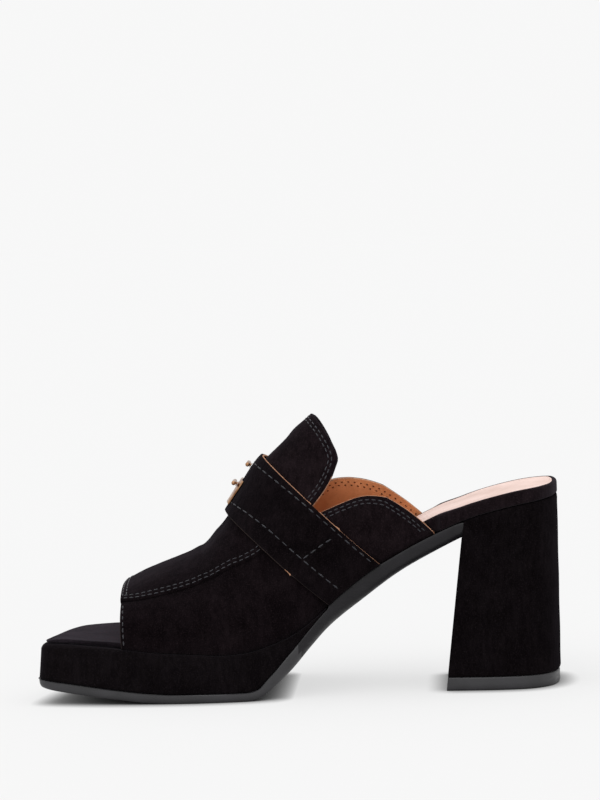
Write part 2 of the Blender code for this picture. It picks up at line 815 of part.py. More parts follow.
def upper_pair(strip, across, section):
    """Outer and inner point of the upper's wall."""
    turn = strip_turn(strip, across, section)
    outer, inner = wall_offsets(strip)
    seated = strip != "apron" and across == 0
    return upper_point(section, turn, outer, seated), upper_point(section, turn, inner, seated)


def strap_offset(strip, across):
    """Offset of the strap's inner face: down on the panels, lifted over the apron and tented at the step."""
    over_apron = GAP + STRAP_STAND_OFF
    on_panel = GAP - SEAM_STEP
    if strip == "apron":
        return over_apron
    return on_panel + (over_apron - on_panel) * ease(across, 1 - STRAP_TENT, 1.0)


def build_strap():
    """Strap over the instep, from the sole's inner edge to its outer edge."""
    sections = row_sections()[FRONT_ROWS - 1:]
    rows = []
    for section in sections:
        row = []
        for strip, across in upper_columns():
            turn = strip_turn(strip, across, section)
            offset = strap_offset(strip, across)
            seated = strip != "apron" and across == 0
            outer = upper_point(section, turn, offset + STRAP_THICKNESS, seated)
            row.append((outer, upper_point(section, turn, offset, seated)))
        rows.append(row)
    add_piece("strap", "strap", *shell(rows, lambda r, c: True))


def strap_face(share, y):
    """Point and outward direction on the strap's outer face near the ridge, at a distance across it."""
    section = STRAP_FRONT_SECTION + (STRAP_BACK_SECTION - STRAP_FRONT_SECTION) * share
    offset = strap_offset("apron", 0.5) + STRAP_THICKNESS
    low = -TURN_SEARCH
    high = TURN_SEARCH
    for _ in range(SEARCH_ROUNDS):
        turn = (low + high) / 2
        if upper_base(section, turn)[1] < y:
            low = turn
        else:
            high = turn
    point = upper_point(section, turn, offset)
    outward = upper_point(section, turn, offset + SLOPE_STEP) - point
    return point, outward / np.linalg.norm(outward)


def build_plate():
    """Plain slim plate that bends over the strap at the ridge."""
    rows = []
    for share in np.linspace(PLATE_FRONT_SHARE, PLATE_BACK_SHARE, PLATE_CELLS_ALONG + 1):
        row = []
        for y in np.linspace(-PLATE_HALF_WIDTH, PLATE_HALF_WIDTH, PLATE_CELLS_ACROSS + 1):
            point, outward = strap_face(share, RIDGE_OFFSET + y)
            row.append((point + outward * (GAP + PLATE_THICKNESS), point + outward * GAP))
        rows.append(row)
    add_piece("ornament_plate", "ornament", *shell(rows, lambda r, c: True))


def turned(start, axis, profile):
    """Vertices and faces of a turned solid. The profile's rows are distance along the axis and radius."""
    least = np.eye(3)[int(np.argmin(np.abs(axis)))]
    side = np.cross(axis, least)
    side /= np.linalg.norm(side)
    other = np.cross(axis, side)
    vertices = []
    for distance, radius in profile:
        for k in range(ROUND_STEPS):
            angle = 2 * math.pi * k / ROUND_STEPS
            ring = math.cos(angle) * side + math.sin(angle) * other
            vertices.append(tuple(start + axis * distance + ring * radius))
    last = len(vertices) - ROUND_STEPS
    faces = [list(range(ROUND_STEPS)), list(range(last, len(vertices)))]
    for level in range(len(profile) - 1):
        for k in range(ROUND_STEPS):
            low = level * ROUND_STEPS
            high = low + ROUND_STEPS
            following = (k + 1) % ROUND_STEPS
            faces.append((low + k, low + following, high + following, high + k))
    return vertices, faces


def build_bar(number, share, foot):
    """Round bar across the ridge, with a short post down to what carries it at the foot height."""
    point, outward = strap_face(share, RIDGE_OFFSET)
    radius = BAR_DIAMETER / 2
    middle = point + outward * (foot + BAR_STAND_OFF + radius)
    across = np.array((0.0, 1.0, 0.0))
    end = radius * BAR_END_SHARE
    tip = radius * BAR_TIP_SHARE
    profile = ((0.0, tip), (end, radius), (BAR_LENGTH - end, radius), (BAR_LENGTH, tip))
    start = middle - across * BAR_LENGTH / 2
    bar = add_piece(f"ornament_bar_{number}", "ornament", *turned(start, across, profile))
    post_profile = ((0.0, POST_DIAMETER / 2), (BAR_STAND_OFF + radius, POST_DIAMETER / 2))
    post = add_piece(f"post_{number}", "ornament", *turned(point + outward * foot, outward, post_profile))
    post.hide_render = True
    post.display_type = "WIRE"
    union = bar.modifiers.new("post", "BOOLEAN")
    union.operation = "UNION"
    union.solver = "EXACT"
    union.object = post


def main():
    clear_scene()
    build_outsole()
    build_platform()
    build_footbed()
    build_sock()
    build_heel()
    build_upper()
    build_strap()
    build_plate()
    build_bar(1, BAR_SHARES[0], 2 * GAP + PLATE_THICKNESS)
    build_bar(2, BAR_SHARES[1], GAP)


main()
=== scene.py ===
"""Looks of a black suede block heel mule: moccasin vamp, tall tongue, strap, platform and covered heel.

Toe towards -X, inner side towards -Y, up is +Z. Sizes are in metres, in the frame's own coordinates.
"""

import math

import bmesh
import bpy
import numpy as np
from mathutils import Matrix, Vector


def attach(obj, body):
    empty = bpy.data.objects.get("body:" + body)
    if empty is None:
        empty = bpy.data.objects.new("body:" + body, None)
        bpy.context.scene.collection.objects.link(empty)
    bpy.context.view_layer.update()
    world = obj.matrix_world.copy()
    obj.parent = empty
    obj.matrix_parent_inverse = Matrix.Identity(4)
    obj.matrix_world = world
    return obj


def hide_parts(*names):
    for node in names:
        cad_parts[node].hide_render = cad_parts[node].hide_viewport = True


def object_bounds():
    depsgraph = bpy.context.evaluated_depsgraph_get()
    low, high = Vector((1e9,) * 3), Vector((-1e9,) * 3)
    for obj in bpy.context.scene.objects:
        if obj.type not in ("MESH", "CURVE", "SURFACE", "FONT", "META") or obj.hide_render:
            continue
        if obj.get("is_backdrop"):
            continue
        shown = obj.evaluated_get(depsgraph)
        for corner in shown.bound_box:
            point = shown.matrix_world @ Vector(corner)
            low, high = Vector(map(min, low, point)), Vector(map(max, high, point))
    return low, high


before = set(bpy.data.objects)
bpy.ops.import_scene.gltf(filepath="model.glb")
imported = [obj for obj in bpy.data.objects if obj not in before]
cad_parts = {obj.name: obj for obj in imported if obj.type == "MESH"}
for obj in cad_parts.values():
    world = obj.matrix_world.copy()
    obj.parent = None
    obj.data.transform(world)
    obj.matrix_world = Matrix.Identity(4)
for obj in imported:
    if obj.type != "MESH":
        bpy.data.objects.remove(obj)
CAD_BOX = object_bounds()
MM = 0.001

# Sizes of the shoe
SHOE_LENGTH = 0.2406
BALL_WIDTH = 0.0905
WAIST_WIDTH = 0.0570
SEAT_WIDTH = 0.0576
HEEL_HEIGHT = 0.0868
TOE_SPRING = 0.0084
PLATFORM_HEIGHT = 0.0174
OUTSOLE_THICKNESS = 0.0040
FOOTBED_THICKNESS = 0.0062
INSTEP_RISE = 0.0568
GAP = 0.0003
FOOTBED_CLEARANCE = 0.0008
QUARTER_CLEARANCE = 0.0006

# Upper and strap
WALL = 0.0020
APRON_WALL = 0.0024
SEAM_STEP = 0.0011
SEAM_WIDTH = 0.0004
UPPER_INSET = 0.0010
RIDGE_OFFSET = -0.0030
HALF_GIRTH = 2 * INSTEP_RISE
FLARE_PEAK = 4
STRAP_FRONT_SECTION = 0.511
NOTCH_SECTION = 0.66
STRAP_BACK_SECTION = 0.716
STRAP_THICKNESS = 0.0020
STRAP_STAND_OFF = 0.0005
STRAP_TENT = 0.30

# Ornament
PLATE_THICKNESS = 0.0008
PLATE_HALF_WIDTH = 0.0060
PLATE_FRONT_SHARE = 0.12
PLATE_BACK_SHARE = 0.53
BAR_SHARES = (0.42, 0.76)
BAR_DIAMETER = 0.0020
BAR_LENGTH = 0.0120
BAR_STAND_OFF = 0.0004
POST_DIAMETER = 0.0014

# Sole, footbed and heel
FOOTBED_TOE_INSET = 0.0046
FOOTBED_TOE_RUN = 0.0100
FOOTBED_FLUSH_RUN = 0.0030
SOCK_FLUSH_RUN = 0.0240
SOCK_THICKNESS = 0.0010
SOCK_EDGE_INSET = 0.0022
SOCK_FRONT_SETBACK = 0.0480
SOCK_FRONT_RAMP = 0.0080
PLATFORM_TOE_RADIUS = 0.0032
PLATFORM_RIM_RADIUS = 0.0013
PLATFORM_RIM_RUN = 0.0060
PLATFORM_INSET = 0.0008
PLATFORM_TOE_DRAFT = 0.0012
PLATFORM_END_SHARE = 0.558
OUTSOLE_EDGE_INSET = 0.0010
OUTSOLE_WAIST_UNDERCUT = 0.0055
OUTSOLE_END_SETBACK = 0.0012
UNDERCUT_START_SHARE = 0.417
UNDERCUT_END_SHARE = 0.583
BREAST_TOP_SHARE = 0.820
BREAST_FOOT_SHARE = 0.778
HEEL_BACK_RAKE = 0.0006
HEEL_FOOT_WIDTH_SHARE = 0.985
TOP_PIECE_THICKNESS = 0.0060
TOP_PIECE_INSET = 0.0004

# Outline from above, from the toe tip along the inner side and back along the outer side.
# Columns: along as a share of the length, across as a share of the named width, and that width.
WIDTHS = {"ball": BALL_WIDTH, "waist": WAIST_WIDTH, "seat": SEAT_WIDTH}
OUTLINE = (
    (0.000, -0.318, "ball"), (0.004, -0.373, "ball"), (0.019, -0.409, "ball"), (0.060, -0.432, "ball"),
    (0.150, -0.472, "ball"), (0.312, -0.500, "ball"), (0.417, -0.472, "ball"), (0.521, -0.391, "ball"),
    (0.604, -0.497, "waist"), (0.700, -0.430, "waist"), (0.812, -0.465, "seat"), (0.905, -0.500, "seat"),
    (0.955, -0.462, "seat"), (0.985, -0.330, "seat"), (0.997, -0.160, "seat"), (1.000, 0.000, "seat"),
    (0.998, 0.205, "seat"), (0.989, 0.375, "seat"), (0.961, 0.474, "seat"), (0.905, 0.502, "seat"),
    (0.812, 0.514, "seat"), (0.700, 0.561, "waist"), (0.604, 0.667, "waist"), (0.521, 0.468, "ball"),
    (0.375, 0.500, "ball"), (0.250, 0.478, "ball"), (0.150, 0.426, "ball"), (0.092, 0.333, "ball"),
    (0.054, 0.210, "ball"), (0.031, 0.040, "ball"), (0.0125, -0.150, "ball"), (0.0025, -0.258, "ball"),
)

# Side profile of the sole. Columns: along, toe lift (of TOE_SPRING), rise (of HEEL_HEIGHT),
# stack (of sole and platform together), outsole (of its thickness), footbed (of its thickness).
SOLE_COLUMNS = ("along", "toe_lift", "rise", "stack", "outsole", "footbed")
SOLE_SECTIONS = (
    (0.000, 1.000, 0.000, 0.910, 0.85, 0.34),
    (0.029, 0.800, 0.000, 0.980, 1.00, 0.34),
    (0.083, 0.540, 0.000, 1.050, 1.10, 0.32),
    (0.154, 0.270, 0.000, 1.080, 1.05, 0.39),
    (0.225, 0.045, 0.000, 1.075, 1.05, 0.42),
    (0.258, 0.000, 0.000, 1.060, 1.00, 0.43),
    (0.317, 0.000, 0.000, 1.020, 0.97, 0.44),
    (0.358, 0.000, 0.000, 0.990, 0.95, 0.45),
    (0.400, 0.000, 0.000, 1.020, 0.95, 0.48),
    (0.421, 0.000, 0.009, 1.030, 1.00, 0.50),
    (0.444, 0.000, 0.047, 0.950, 1.50, 0.52),
    (0.488, 0.000, 0.153, 0.710, 2.00, 0.62),
    (0.522, 0.000, 0.257, 0.533, 2.10, 0.78),
    (0.558, 0.000, 0.359, 0.450, 2.15, 0.95),
    (0.625, 0.000, 0.497, 0.480, 2.20, 1.15),
    (0.696, 0.000, 0.632, 0.405, 2.20, 1.22),
    (0.765, 0.000, 0.736, 0.375, 2.20, 1.22),
    (0.821, 0.000, 0.812, 0.338, 2.20, 1.04),
    (0.908, 0.000, 0.912, 0.200, 2.20, 1.05),
    (1.000, 0.000, 1.000, 0.016, 2.20, 0.96),
)

# Sections of the upper. Columns: foot (share of length where the plane meets the sole), lean (of length),
# rise (of INSTEP_RISE), roundness of the section's curve, flare of the inner side.
SECTION_COLUMNS = ("foot", "lean", "rise", "roundness", "flare")
UPPER_SECTIONS = (
    (0.1665, -0.004, 0.470, 2.50, 0.00),
    (0.2330, -0.027, 0.594, 2.45, 0.00),
    (0.3080, -0.048, 0.702, 2.40, 0.00),
    (0.3920, -0.083, 0.792, 2.35, 0.00),
    (0.4750, -0.135, 0.814, 2.30, 0.01),
    (0.5540, -0.188, 0.717, 2.30, 0.04),
    (0.6040, -0.202, 0.768, 2.30, 0.09),
    (0.6520, -0.215, 0.844, 2.30, 0.14),
    (0.6920, -0.220, 0.883, 2.30, 0.17),
    (0.7290, -0.223, 0.945, 2.30, 0.18),
    (0.7630, -0.222, 1.000, 2.30, 0.18),
)

# Edges on the upper as shares of the height from sole to ridge.
EDGE_COLUMNS = ("section", "inner_panel", "inner_apron", "outer_panel", "outer_apron")
EDGES = (
    (0.00, 0.800, 0.800, 0.790, 0.790),
    (0.10, 0.728, 0.728, 0.745, 0.745),
    (0.18, 0.722, 0.722, 0.735, 0.735),
    (0.25, 0.733, 0.733, 0.735, 0.735),
    (0.32, 0.743, 0.743, 0.740, 0.740),
    (0.40, 0.720, 0.720, 0.725, 0.725),
    (0.50, 0.642, 0.642, 0.665, 0.665),
    (0.60, 0.585, 0.585, 0.615, 0.615),
    (0.66, 0.555, 0.555, 0.605, 0.605),
    (0.72, 0.518, 0.582, 0.617, 0.652),
    (0.80, 0.487, 0.614, 0.613, 0.690),
    (0.86, 0.456, 0.645, 0.556, 0.706),
    (0.90, 0.427, 0.675, 0.492, 0.724),
    (0.94, 0.380, 0.710, 0.403, 0.748),
    (0.97, 0.335, 0.740, 0.312, 0.772),
    (1.00, 0.280, 0.770, 0.212, 0.800),
)
QUARTER_END = {"inner": 1.0, "outer": 0.985}
QUARTER_CORNER = 0.035
TONGUE_TIP_SECTION = 0.980
TONGUE_CORNER = {"inner": 0.055, "outer": 0.085}
TONGUE_CORNER_START = {"inner": 0.45, "outer": 0.15}


class Curve:
    """A smooth curve through a table's points that never overshoots them."""

    def __init__(self, xs, ys):
        self.xs = np.asarray(xs, float)
        self.ys = np.asarray(ys, float)
        steps = np.diff(self.xs)
        rises = np.diff(self.ys) / steps
        first = 2 * steps[1:] + steps[:-1]
        second = steps[1:] + 2 * steps[:-1]
        same = rises[:-1] * rises[1:] > 0
        before = np.where(same, rises[:-1], 1.0)
        after = np.where(same, rises[1:], 1.0)
        inner = np.where(same, (first + second) / (first / before + second / after), 0.0)
        self.slopes = np.concatenate([rises[:1], inner, rises[-1:]])

    def __call__(self, x):
        i = np.clip(np.searchsorted(self.xs, x) - 1, 0, len(self.xs) - 2)
        step = self.xs[i + 1] - self.xs[i]
        t = (x - self.xs[i]) / step
        start = self.ys[i] * (1 + 2 * t) * (1 - t) ** 2 + step * self.slopes[i] * t * (1 - t) ** 2
        finish = self.ys[i + 1] * t * t * (3 - 2 * t) + step * self.slopes[i + 1] * t * t * (t - 1)
        return start + finish


def curves(table, columns):
    """Each later column of a table as a curve over its first column."""
    first = [row[0] for row in table]
    return {name: Curve(first, [row[i] for row in table]) for i, name in enumerate(columns)}


def ease(value, start, end):
    """0 before start, 1 after end, and a smooth step between."""
    t = np.clip((value - start) / (end - start), 0.0, 1.0)
    return t * t * (3 - 2 * t)


def bump_at(value, centre, width):
    """1 at the centre, fading out over about the width to both sides."""
    return np.exp(-((value - centre) / width) ** 2)


def place(share):
    """X of a share of the length, counted from the toe tip."""
    return (share - 0.5) * SHOE_LENGTH


class Outline:
    """The shoe's outline from above, as an inner and an outer half from toe tip to heel."""

    STEPS = 40

    def __init__(self):
        rows = np.array([(place(along), across * WIDTHS[width]) for along, across, width in OUTLINE])
        loop = np.concatenate([self.stretch(rows, i) for i in range(len(rows))])
        along = np.roll(loop, -1, axis=0) - np.roll(loop, 1, axis=0)
        along /= np.linalg.norm(along, axis=1)[:, None]
        inward = np.stack([-along[:, 1], along[:, 0]], axis=1)
        tip = int(np.argmin(loop[:, 0]))
        loop = np.roll(loop, -tip, axis=0)
        inward = np.roll(inward, -tip, axis=0)
        back = int(np.argmax(loop[:, 0]))
        ways = {"inner": np.arange(back + 1), "outer": np.concatenate([[0], np.arange(len(loop) - 1, back - 1, -1)])}
        self.halves = {side: (loop[way], inward[way]) for side, way in ways.items()}

    def stretch(self, rows, i):
        """Points of the curve from one row to the next, paced by the rows' distances."""
        four = [rows[(i + k) % len(rows)] for k in (-1, 0, 1, 2)]
        knots = np.cumsum([0.0] + [math.sqrt(np.linalg.norm(b - a)) for a, b in zip(four, four[1:])])
        t = (knots[1] + (knots[2] - knots[1]) * np.arange(self.STEPS) / self.STEPS)[:, None]
        level = list(four)
        for depth in (1, 2, 3):
            merged = []
            for k in range(4 - depth):
                start, end = ((knots[k], knots[k + depth]) if depth < 3 else (knots[1], knots[2]))
                merged.append(((end - t) * level[k] + (t - start) * level[k + 1]) / (end - start))
            level = merged
        return level[0]

    def edge(self, side, x, inset=0.0):
        """The outline's points at x on one side, moved inwards by the inset."""
        points, inward = self.halves[side]
        y = np.interp(x, points[:, 0], points[:, 1])
        nx = np.interp(x, points[:, 0], inward[:, 0])
        ny = np.interp(x, points[:, 0], inward[:, 1])
        return x + inset * nx, y + inset * ny


OUTLINE_CURVE = Outline()
SOLE = curves(SOLE_SECTIONS, SOLE_COLUMNS)
FAN_PLACES = np.linspace(0.0, 1.0, len(UPPER_SECTIONS))
FAN = {name: Curve(FAN_PLACES, [row[i] for row in UPPER_SECTIONS]) for i, name in enumerate(SECTION_COLUMNS)}
EDGE = curves(EDGES, EDGE_COLUMNS)
PLATFORM_END = place(PLATFORM_END_SHARE)
BREAST_TOP = place(BREAST_TOP_SHARE)
BREAST_FOOT = place(BREAST_FOOT_SHARE)
TOE_OPENING = place(UPPER_SECTIONS[0][0])


def sole_value(name, x):
    """One column of the sole's profile at x."""
    return SOLE[name](np.clip(x / SHOE_LENGTH + 0.5, 0.0, 1.0))


def underside(x):
    """Height of the outsole's underside."""
    return TOE_SPRING * sole_value("toe_lift", x) + HEEL_HEIGHT * sole_value("rise", x)


def seat(x):
    """Height of the line that upper and footbed stand on."""
    return underside(x) + (PLATFORM_HEIGHT + OUTSOLE_THICKNESS) * sole_value("stack", x)


def outsole_top(x):
    """Height of the outsole's upper face, which reaches the seat line behind the platform."""
    return np.where(x > PLATFORM_END, seat(x), underside(x) + OUTSOLE_THICKNESS * sole_value("outsole", x))


def upright_gap(x):
    """The gap measured upright that leaves the gap square to the sloping seat."""
    slope = (seat(x + MM) - seat(x - MM)) / (2 * MM)
    return GAP * np.sqrt(1 + slope * slope)


def sock_share(x):
    """1 where the sock lies on the footbed, 0 at the bare toe."""
    front = place(0.0) + SOCK_FRONT_SETBACK
    return ease(x, front - SOCK_FRONT_RAMP, front)


def footbed_foot(x):
    """Height of the footbed's underside."""
    return seat(x) + upright_gap(x)


def footbed_top(x):
    """Height of the footbed's upper face."""
    return footbed_foot(x) + FOOTBED_THICKNESS * sole_value("footbed", x) - sock_share(x) * SOCK_THICKNESS


def upper_base(section, turn):
    """Points of the apron's level. The turn runs from -1 at the inner sole edge over 0 to 1 at the outer."""
    angle = (1 - np.minimum(1.0, np.abs(turn))) * math.pi / 2
    power = 2 / FAN["roundness"](section)
    height = np.sin(angle) ** power
    width = np.maximum(0.0, np.cos(angle)) ** power
    foot = place(FAN["foot"](section))
    x = foot + height * FAN["lean"](section) * SHOE_LENGTH
    z = seat(foot) + upright_gap(foot) + height * FAN["rise"](section) * INSTEP_RISE
    outline_x = foot + (x - foot) * (1 - height) ** 2
    inset = UPPER_INSET - SEAM_STEP
    inner = OUTLINE_CURVE.edge("inner", outline_x, inset)[1]
    outer = OUTLINE_CURVE.edge("outer", outline_x, inset)[1]
    swell = 1 + FAN["flare"](section) * FLARE_PEAK * height * (1 - height)
    width = np.where(turn < 0, width * swell, width)
    y = RIDGE_OFFSET + (np.where(turn < 0, inner, outer) - RIDGE_OFFSET) * width
    return np.stack([x, y, z], axis=-1)


def upper_normal(section, turn):
    """Outward directions of the upper's surface."""
    step = 0.01
    along = upper_base(section + step, turn) - upper_base(section - step, turn)
    over = upper_base(section, np.minimum(1.0, turn + step)) - upper_base(section, np.maximum(-1.0, turn - step))
    normal = np.cross(along, over)
    return normal / np.linalg.norm(normal, axis=-1, keepdims=True)


def turn_of(height, section):
    """Place round a section, 0 at the sole and 1 at the ridge, of a height share."""
    return np.arcsin(np.clip(height, 0.0, 1.0) ** (FAN["roundness"](section) / 2)) / (math.pi / 2)


def seam_turn(name, section):
    """Signed turn of one of the upper's edges."""
    turn = turn_of(EDGE[name](section), section) - 1
    return turn if name.startswith("inner") else -turn


def metres_per_turn(section, turn):
    """Length on the upper of one whole turn at a place."""
    step = 0.004
    return np.linalg.norm(upper_base(section, turn + step) - upper_base(section, turn - step), axis=-1) / (2 * step)


# Creases of the upper and strap, soft troughs and ridges laid one by one.
# Columns: middle as section and turn, direction in degrees from the section's line, half length,
# half width and height, in metres.
CREASES = (
    (0.440, -0.500, 62, 0.0120, 0.0022, -0.00055),
    (0.405, -0.530, 60, 0.0110, 0.0024, 0.00035),
    (0.380, -0.640, 48, 0.0130, 0.0030, -0.00030),
    (0.300, -0.720, 30, 0.0150, 0.0040, 0.00028),
    (0.470, -0.700, 55, 0.0120, 0.0028, -0.00036),
    (0.150, -0.620, 12, 0.0130, 0.0045, -0.00026),
    (0.420, 0.520, -60, 0.0120, 0.0024, -0.00050),
    (0.380, 0.620, -50, 0.0130, 0.0030, 0.00030),
    (0.300, 0.700, -30, 0.0150, 0.0042, -0.00028),
    (0.470, 0.720, -55, 0.0120, 0.0028, -0.00034),
    (0.440, -0.120, 88, 0.0150, 0.0034, -0.00032),
    (0.390, 0.060, 84, 0.0160, 0.0040, 0.00026),
    (0.330, -0.060, 86, 0.0170, 0.0045, -0.00022),
    (0.840, -0.200, 8, 0.0120, 0.0040, -0.00034),
    (0.860, 0.120, -10, 0.0130, 0.0050, 0.00030),
    (0.800, -0.760, 40, 0.0100, 0.0030, -0.00030),
    (0.860, 0.720, -42, 0.0110, 0.0032, -0.00030),
)


def creases(section, turn):
    """Height of all the creases at places on the upper."""
    total = np.zeros(np.broadcast(section, turn).shape)
    for mid_section, mid_turn, degrees, half_length, half_width, height in CREASES:
        per_turn = float(metres_per_turn(mid_section, mid_turn))
        per_section = 0.145
        along = (section - mid_section) * per_section
        across = (turn - mid_turn) * per_turn
        angle = math.radians(degrees)
        u = along * math.sin(angle) + across * math.cos(angle)
        v = along * math.cos(angle) - across * math.sin(angle)
        bend = v + 0.12 * half_width * np.sin(u / half_length * 3.0)
        total += height * bump_at(u, 0.0, half_length) * bump_at(bend, 0.0, half_width)
    return total


def swell(section, turn):
    """Faint unevenness of hand lasted leather."""
    waves = np.sin(section * 23 + turn * 7 + 0.6) * np.sin(turn * 15 - section * 9 + 1.9)
    return 0.00010 * waves + 0.00006 * np.sin(section * 51 - turn * 22) * np.sin(turn * 33 + 0.4)


# Materials


class Look:
    """A node based material with short calls for what the finishes share."""

    def __init__(self, name):
        self.material = bpy.data.materials.new(name)
        self.material.use_nodes = True
        self.tree = self.material.node_tree
        self.shader = self.tree.nodes["Principled BSDF"]
        self.place = self.tree.nodes.new("ShaderNodeTexCoord").outputs["Object"]

    def link(self, source, target):
        self.tree.links.new(source, target)

    def settings(self, **values):
        """Values on the shader's own sockets."""
        for name, value in values.items():
            self.shader.inputs[name.replace("_", " ").title().replace("Ior", "IOR")].default_value = value

    def noise(self, scale, detail=2.0, roughness=0.5, stretch=None):
        """Noise with features about one over the scale in size, stretched by the three shares."""
        source = self.place
        if stretch:
            mapping = self.tree.nodes.new("ShaderNodeMapping")
            mapping.inputs["Scale"].default_value = stretch
            self.link(source, mapping.inputs["Vector"])
            source = mapping.outputs["Vector"]
        node = self.tree.nodes.new("ShaderNodeTexNoise")
        node.inputs["Scale"].default_value = scale
        node.inputs["Detail"].default_value = detail
        node.inputs["Roughness"].default_value = roughness
        self.link(source, node.inputs["Vector"])
        return node.outputs["Fac"]

    def window(self, source, low, high, floor=0.0, ceiling=1.0):
        """The source spread from its low and high values to the floor and ceiling."""
        node = self.tree.nodes.new("ShaderNodeMapRange")
        node.inputs["From Min"].default_value = low
        node.inputs["From Max"].default_value = high
        node.inputs["To Min"].default_value = floor
        node.inputs["To Max"].default_value = ceiling
        self.link(source, node.inputs["Value"])
        return node.outputs["Result"]

    def blend(self, share, low, high):
        """Colour between two colours or sources."""
        node = self.tree.nodes.new("ShaderNodeMix")
        node.data_type = "RGBA"
        for socket, value in ((node.inputs[6], low), (node.inputs[7], high)):
            if isinstance(value, tuple):
                socket.default_value = (*value, 1.0)
            else:
                self.link(value, socket)
        self.link(share, node.inputs[0])
        return node.outputs[2]

    def relief(self, *layers):
        """Bump from layers of source, strength and depth in metres."""
        last = None
        for source, strength, depth in layers:
            node = self.tree.nodes.new("ShaderNodeBump")
            node.inputs["Strength"].default_value = strength
            node.inputs["Distance"].default_value = depth
            self.link(source, node.inputs["Height"])
            if last:
                self.link(last, node.inputs["Normal"])
            last = node.outputs["Normal"]
        self.link(last, self.shader.inputs["Normal"])

    def colour(self, source):
        self.link(source, self.shader.inputs["Base Color"])

    def rough(self, source):
        self.link(source, self.shader.inputs["Roughness"])


def suede(name, dark, light, sheen=0.06, nap=(1.0, 1.0, 0.30), depth=1.0):
    """Brushed suede: blotches, streaks of nap and single fibres."""
    look = Look(name)
    blotch = look.window(look.noise(75, 6.0, 0.68), 0.36, 0.64)
    streak = look.window(look.noise(520, 3.0, 0.6, nap), 0.36, 0.66)
    fibre = look.noise(2400, 2.0, 0.7)
    body = look.blend(blotch, dark, light)
    shade = tuple(0.55 * value for value in dark)
    body = look.blend(look.window(streak, 0.0, 1.0, 0.0, 0.62), body, shade)
    tips = tuple(2.6 * value for value in light)
    body = look.blend(look.window(fibre, 0.54, 0.76, 0.0, 0.80), body, tips)
    look.colour(body)
    look.rough(look.window(blotch, 0.0, 1.0, 0.86, 0.98))
    look.relief((blotch, 0.20, 0.0004), (streak, 0.35 * depth, 0.00025), (fibre, 0.55 * depth, 0.00012))
    look.settings(specular_ior_level=0.0, sheen_weight=sheen, sheen_roughness=0.5)
    look.shader.inputs["Sheen Tint"].default_value = (0.62, 0.56, 0.66, 1.0)
    return look.material


def rubber(name, dark, light, gloss=0.46):
    """Smooth matt rubber with a moulded skin and faint wipe marks."""
    look = Look(name)
    cloud = look.window(look.noise(70, 3.0, 0.6), 0.35, 0.68)
    skin = look.noise(1500, 2.0, 0.5)
    wiped = look.window(look.noise(160, 3.0, 0.6, (1.0, 1.0, 5.0)), 0.42, 0.70)
    look.colour(look.blend(cloud, dark, light))
    look.rough(look.window(wiped, 0.0, 1.0, 0.40, 0.58))
    look.relief((cloud, 0.10, 0.0003), (skin, 0.22, 0.00005))
    look.settings(specular_ior_level=gloss)
    return look.material


def leather(name, dark, light, roughness, grain=1.0):
    """Smooth leather with pores, faint wrinkles and an uneven dye."""
    look = Look(name)
    dye = look.window(look.noise(34, 4.0, 0.6), 0.34, 0.68)
    pores = look.noise(1300, 2.0, 0.55)
    skin = look.window(look.noise(300, 4.0, 0.62), 0.38, 0.66)
    body = look.blend(dye, dark, light)
    deep = tuple(0.86 * value for value in dark)
    look.colour(look.blend(look.window(pores, 0.40, 0.30, 0.0, 0.45), body, deep))
    look.rough(look.window(skin, 0.0, 1.0, roughness, roughness + 0.14))
    look.relief((skin, 0.16 * grain, 0.00022), (pores, 0.25 * grain, 0.00006))
    look.settings(specular_ior_level=0.40)
    return look.material


def raw_edge(name, dark, light):
    """Cut edge of tan leather with its loose fibres."""
    look = Look(name)
    fibre = look.window(look.noise(1800, 3.0, 0.6), 0.34, 0.68)
    look.colour(look.blend(fibre, dark, light))
    look.relief((fibre, 0.45, 0.00010))
    look.settings(roughness=0.85, specular_ior_level=0.20)
    return look.material


def thread(name, dark, light):
    """Waxed sewing thread with its twist."""
    look = Look(name)
    twist = look.window(look.noise(1900, 2.0, 0.5), 0.36, 0.66)
    look.colour(look.blend(twist, dark, light))
    look.relief((twist, 0.35, 0.00008))
    look.settings(roughness=0.55, specular_ior_level=0.40, sheen_weight=0.20)
    return look.material


def gold(name, dark, light):
    """Gold tone metal with a brushed, slightly clouded polish."""
    look = Look(name)
    cloud = look.window(look.noise(240, 3.0, 0.6), 0.34, 0.68)
    brushed = look.window(look.noise(900, 2.0, 0.5, (1.0, 0.12, 1.0)), 0.35, 0.70)
    look.colour(look.blend(cloud, dark, light))
    look.rough(look.window(brushed, 0.0, 1.0, 0.20, 0.36))
    look.relief((brushed, 0.10, 0.00004))
    look.settings(metallic=1.0)
    return look.material


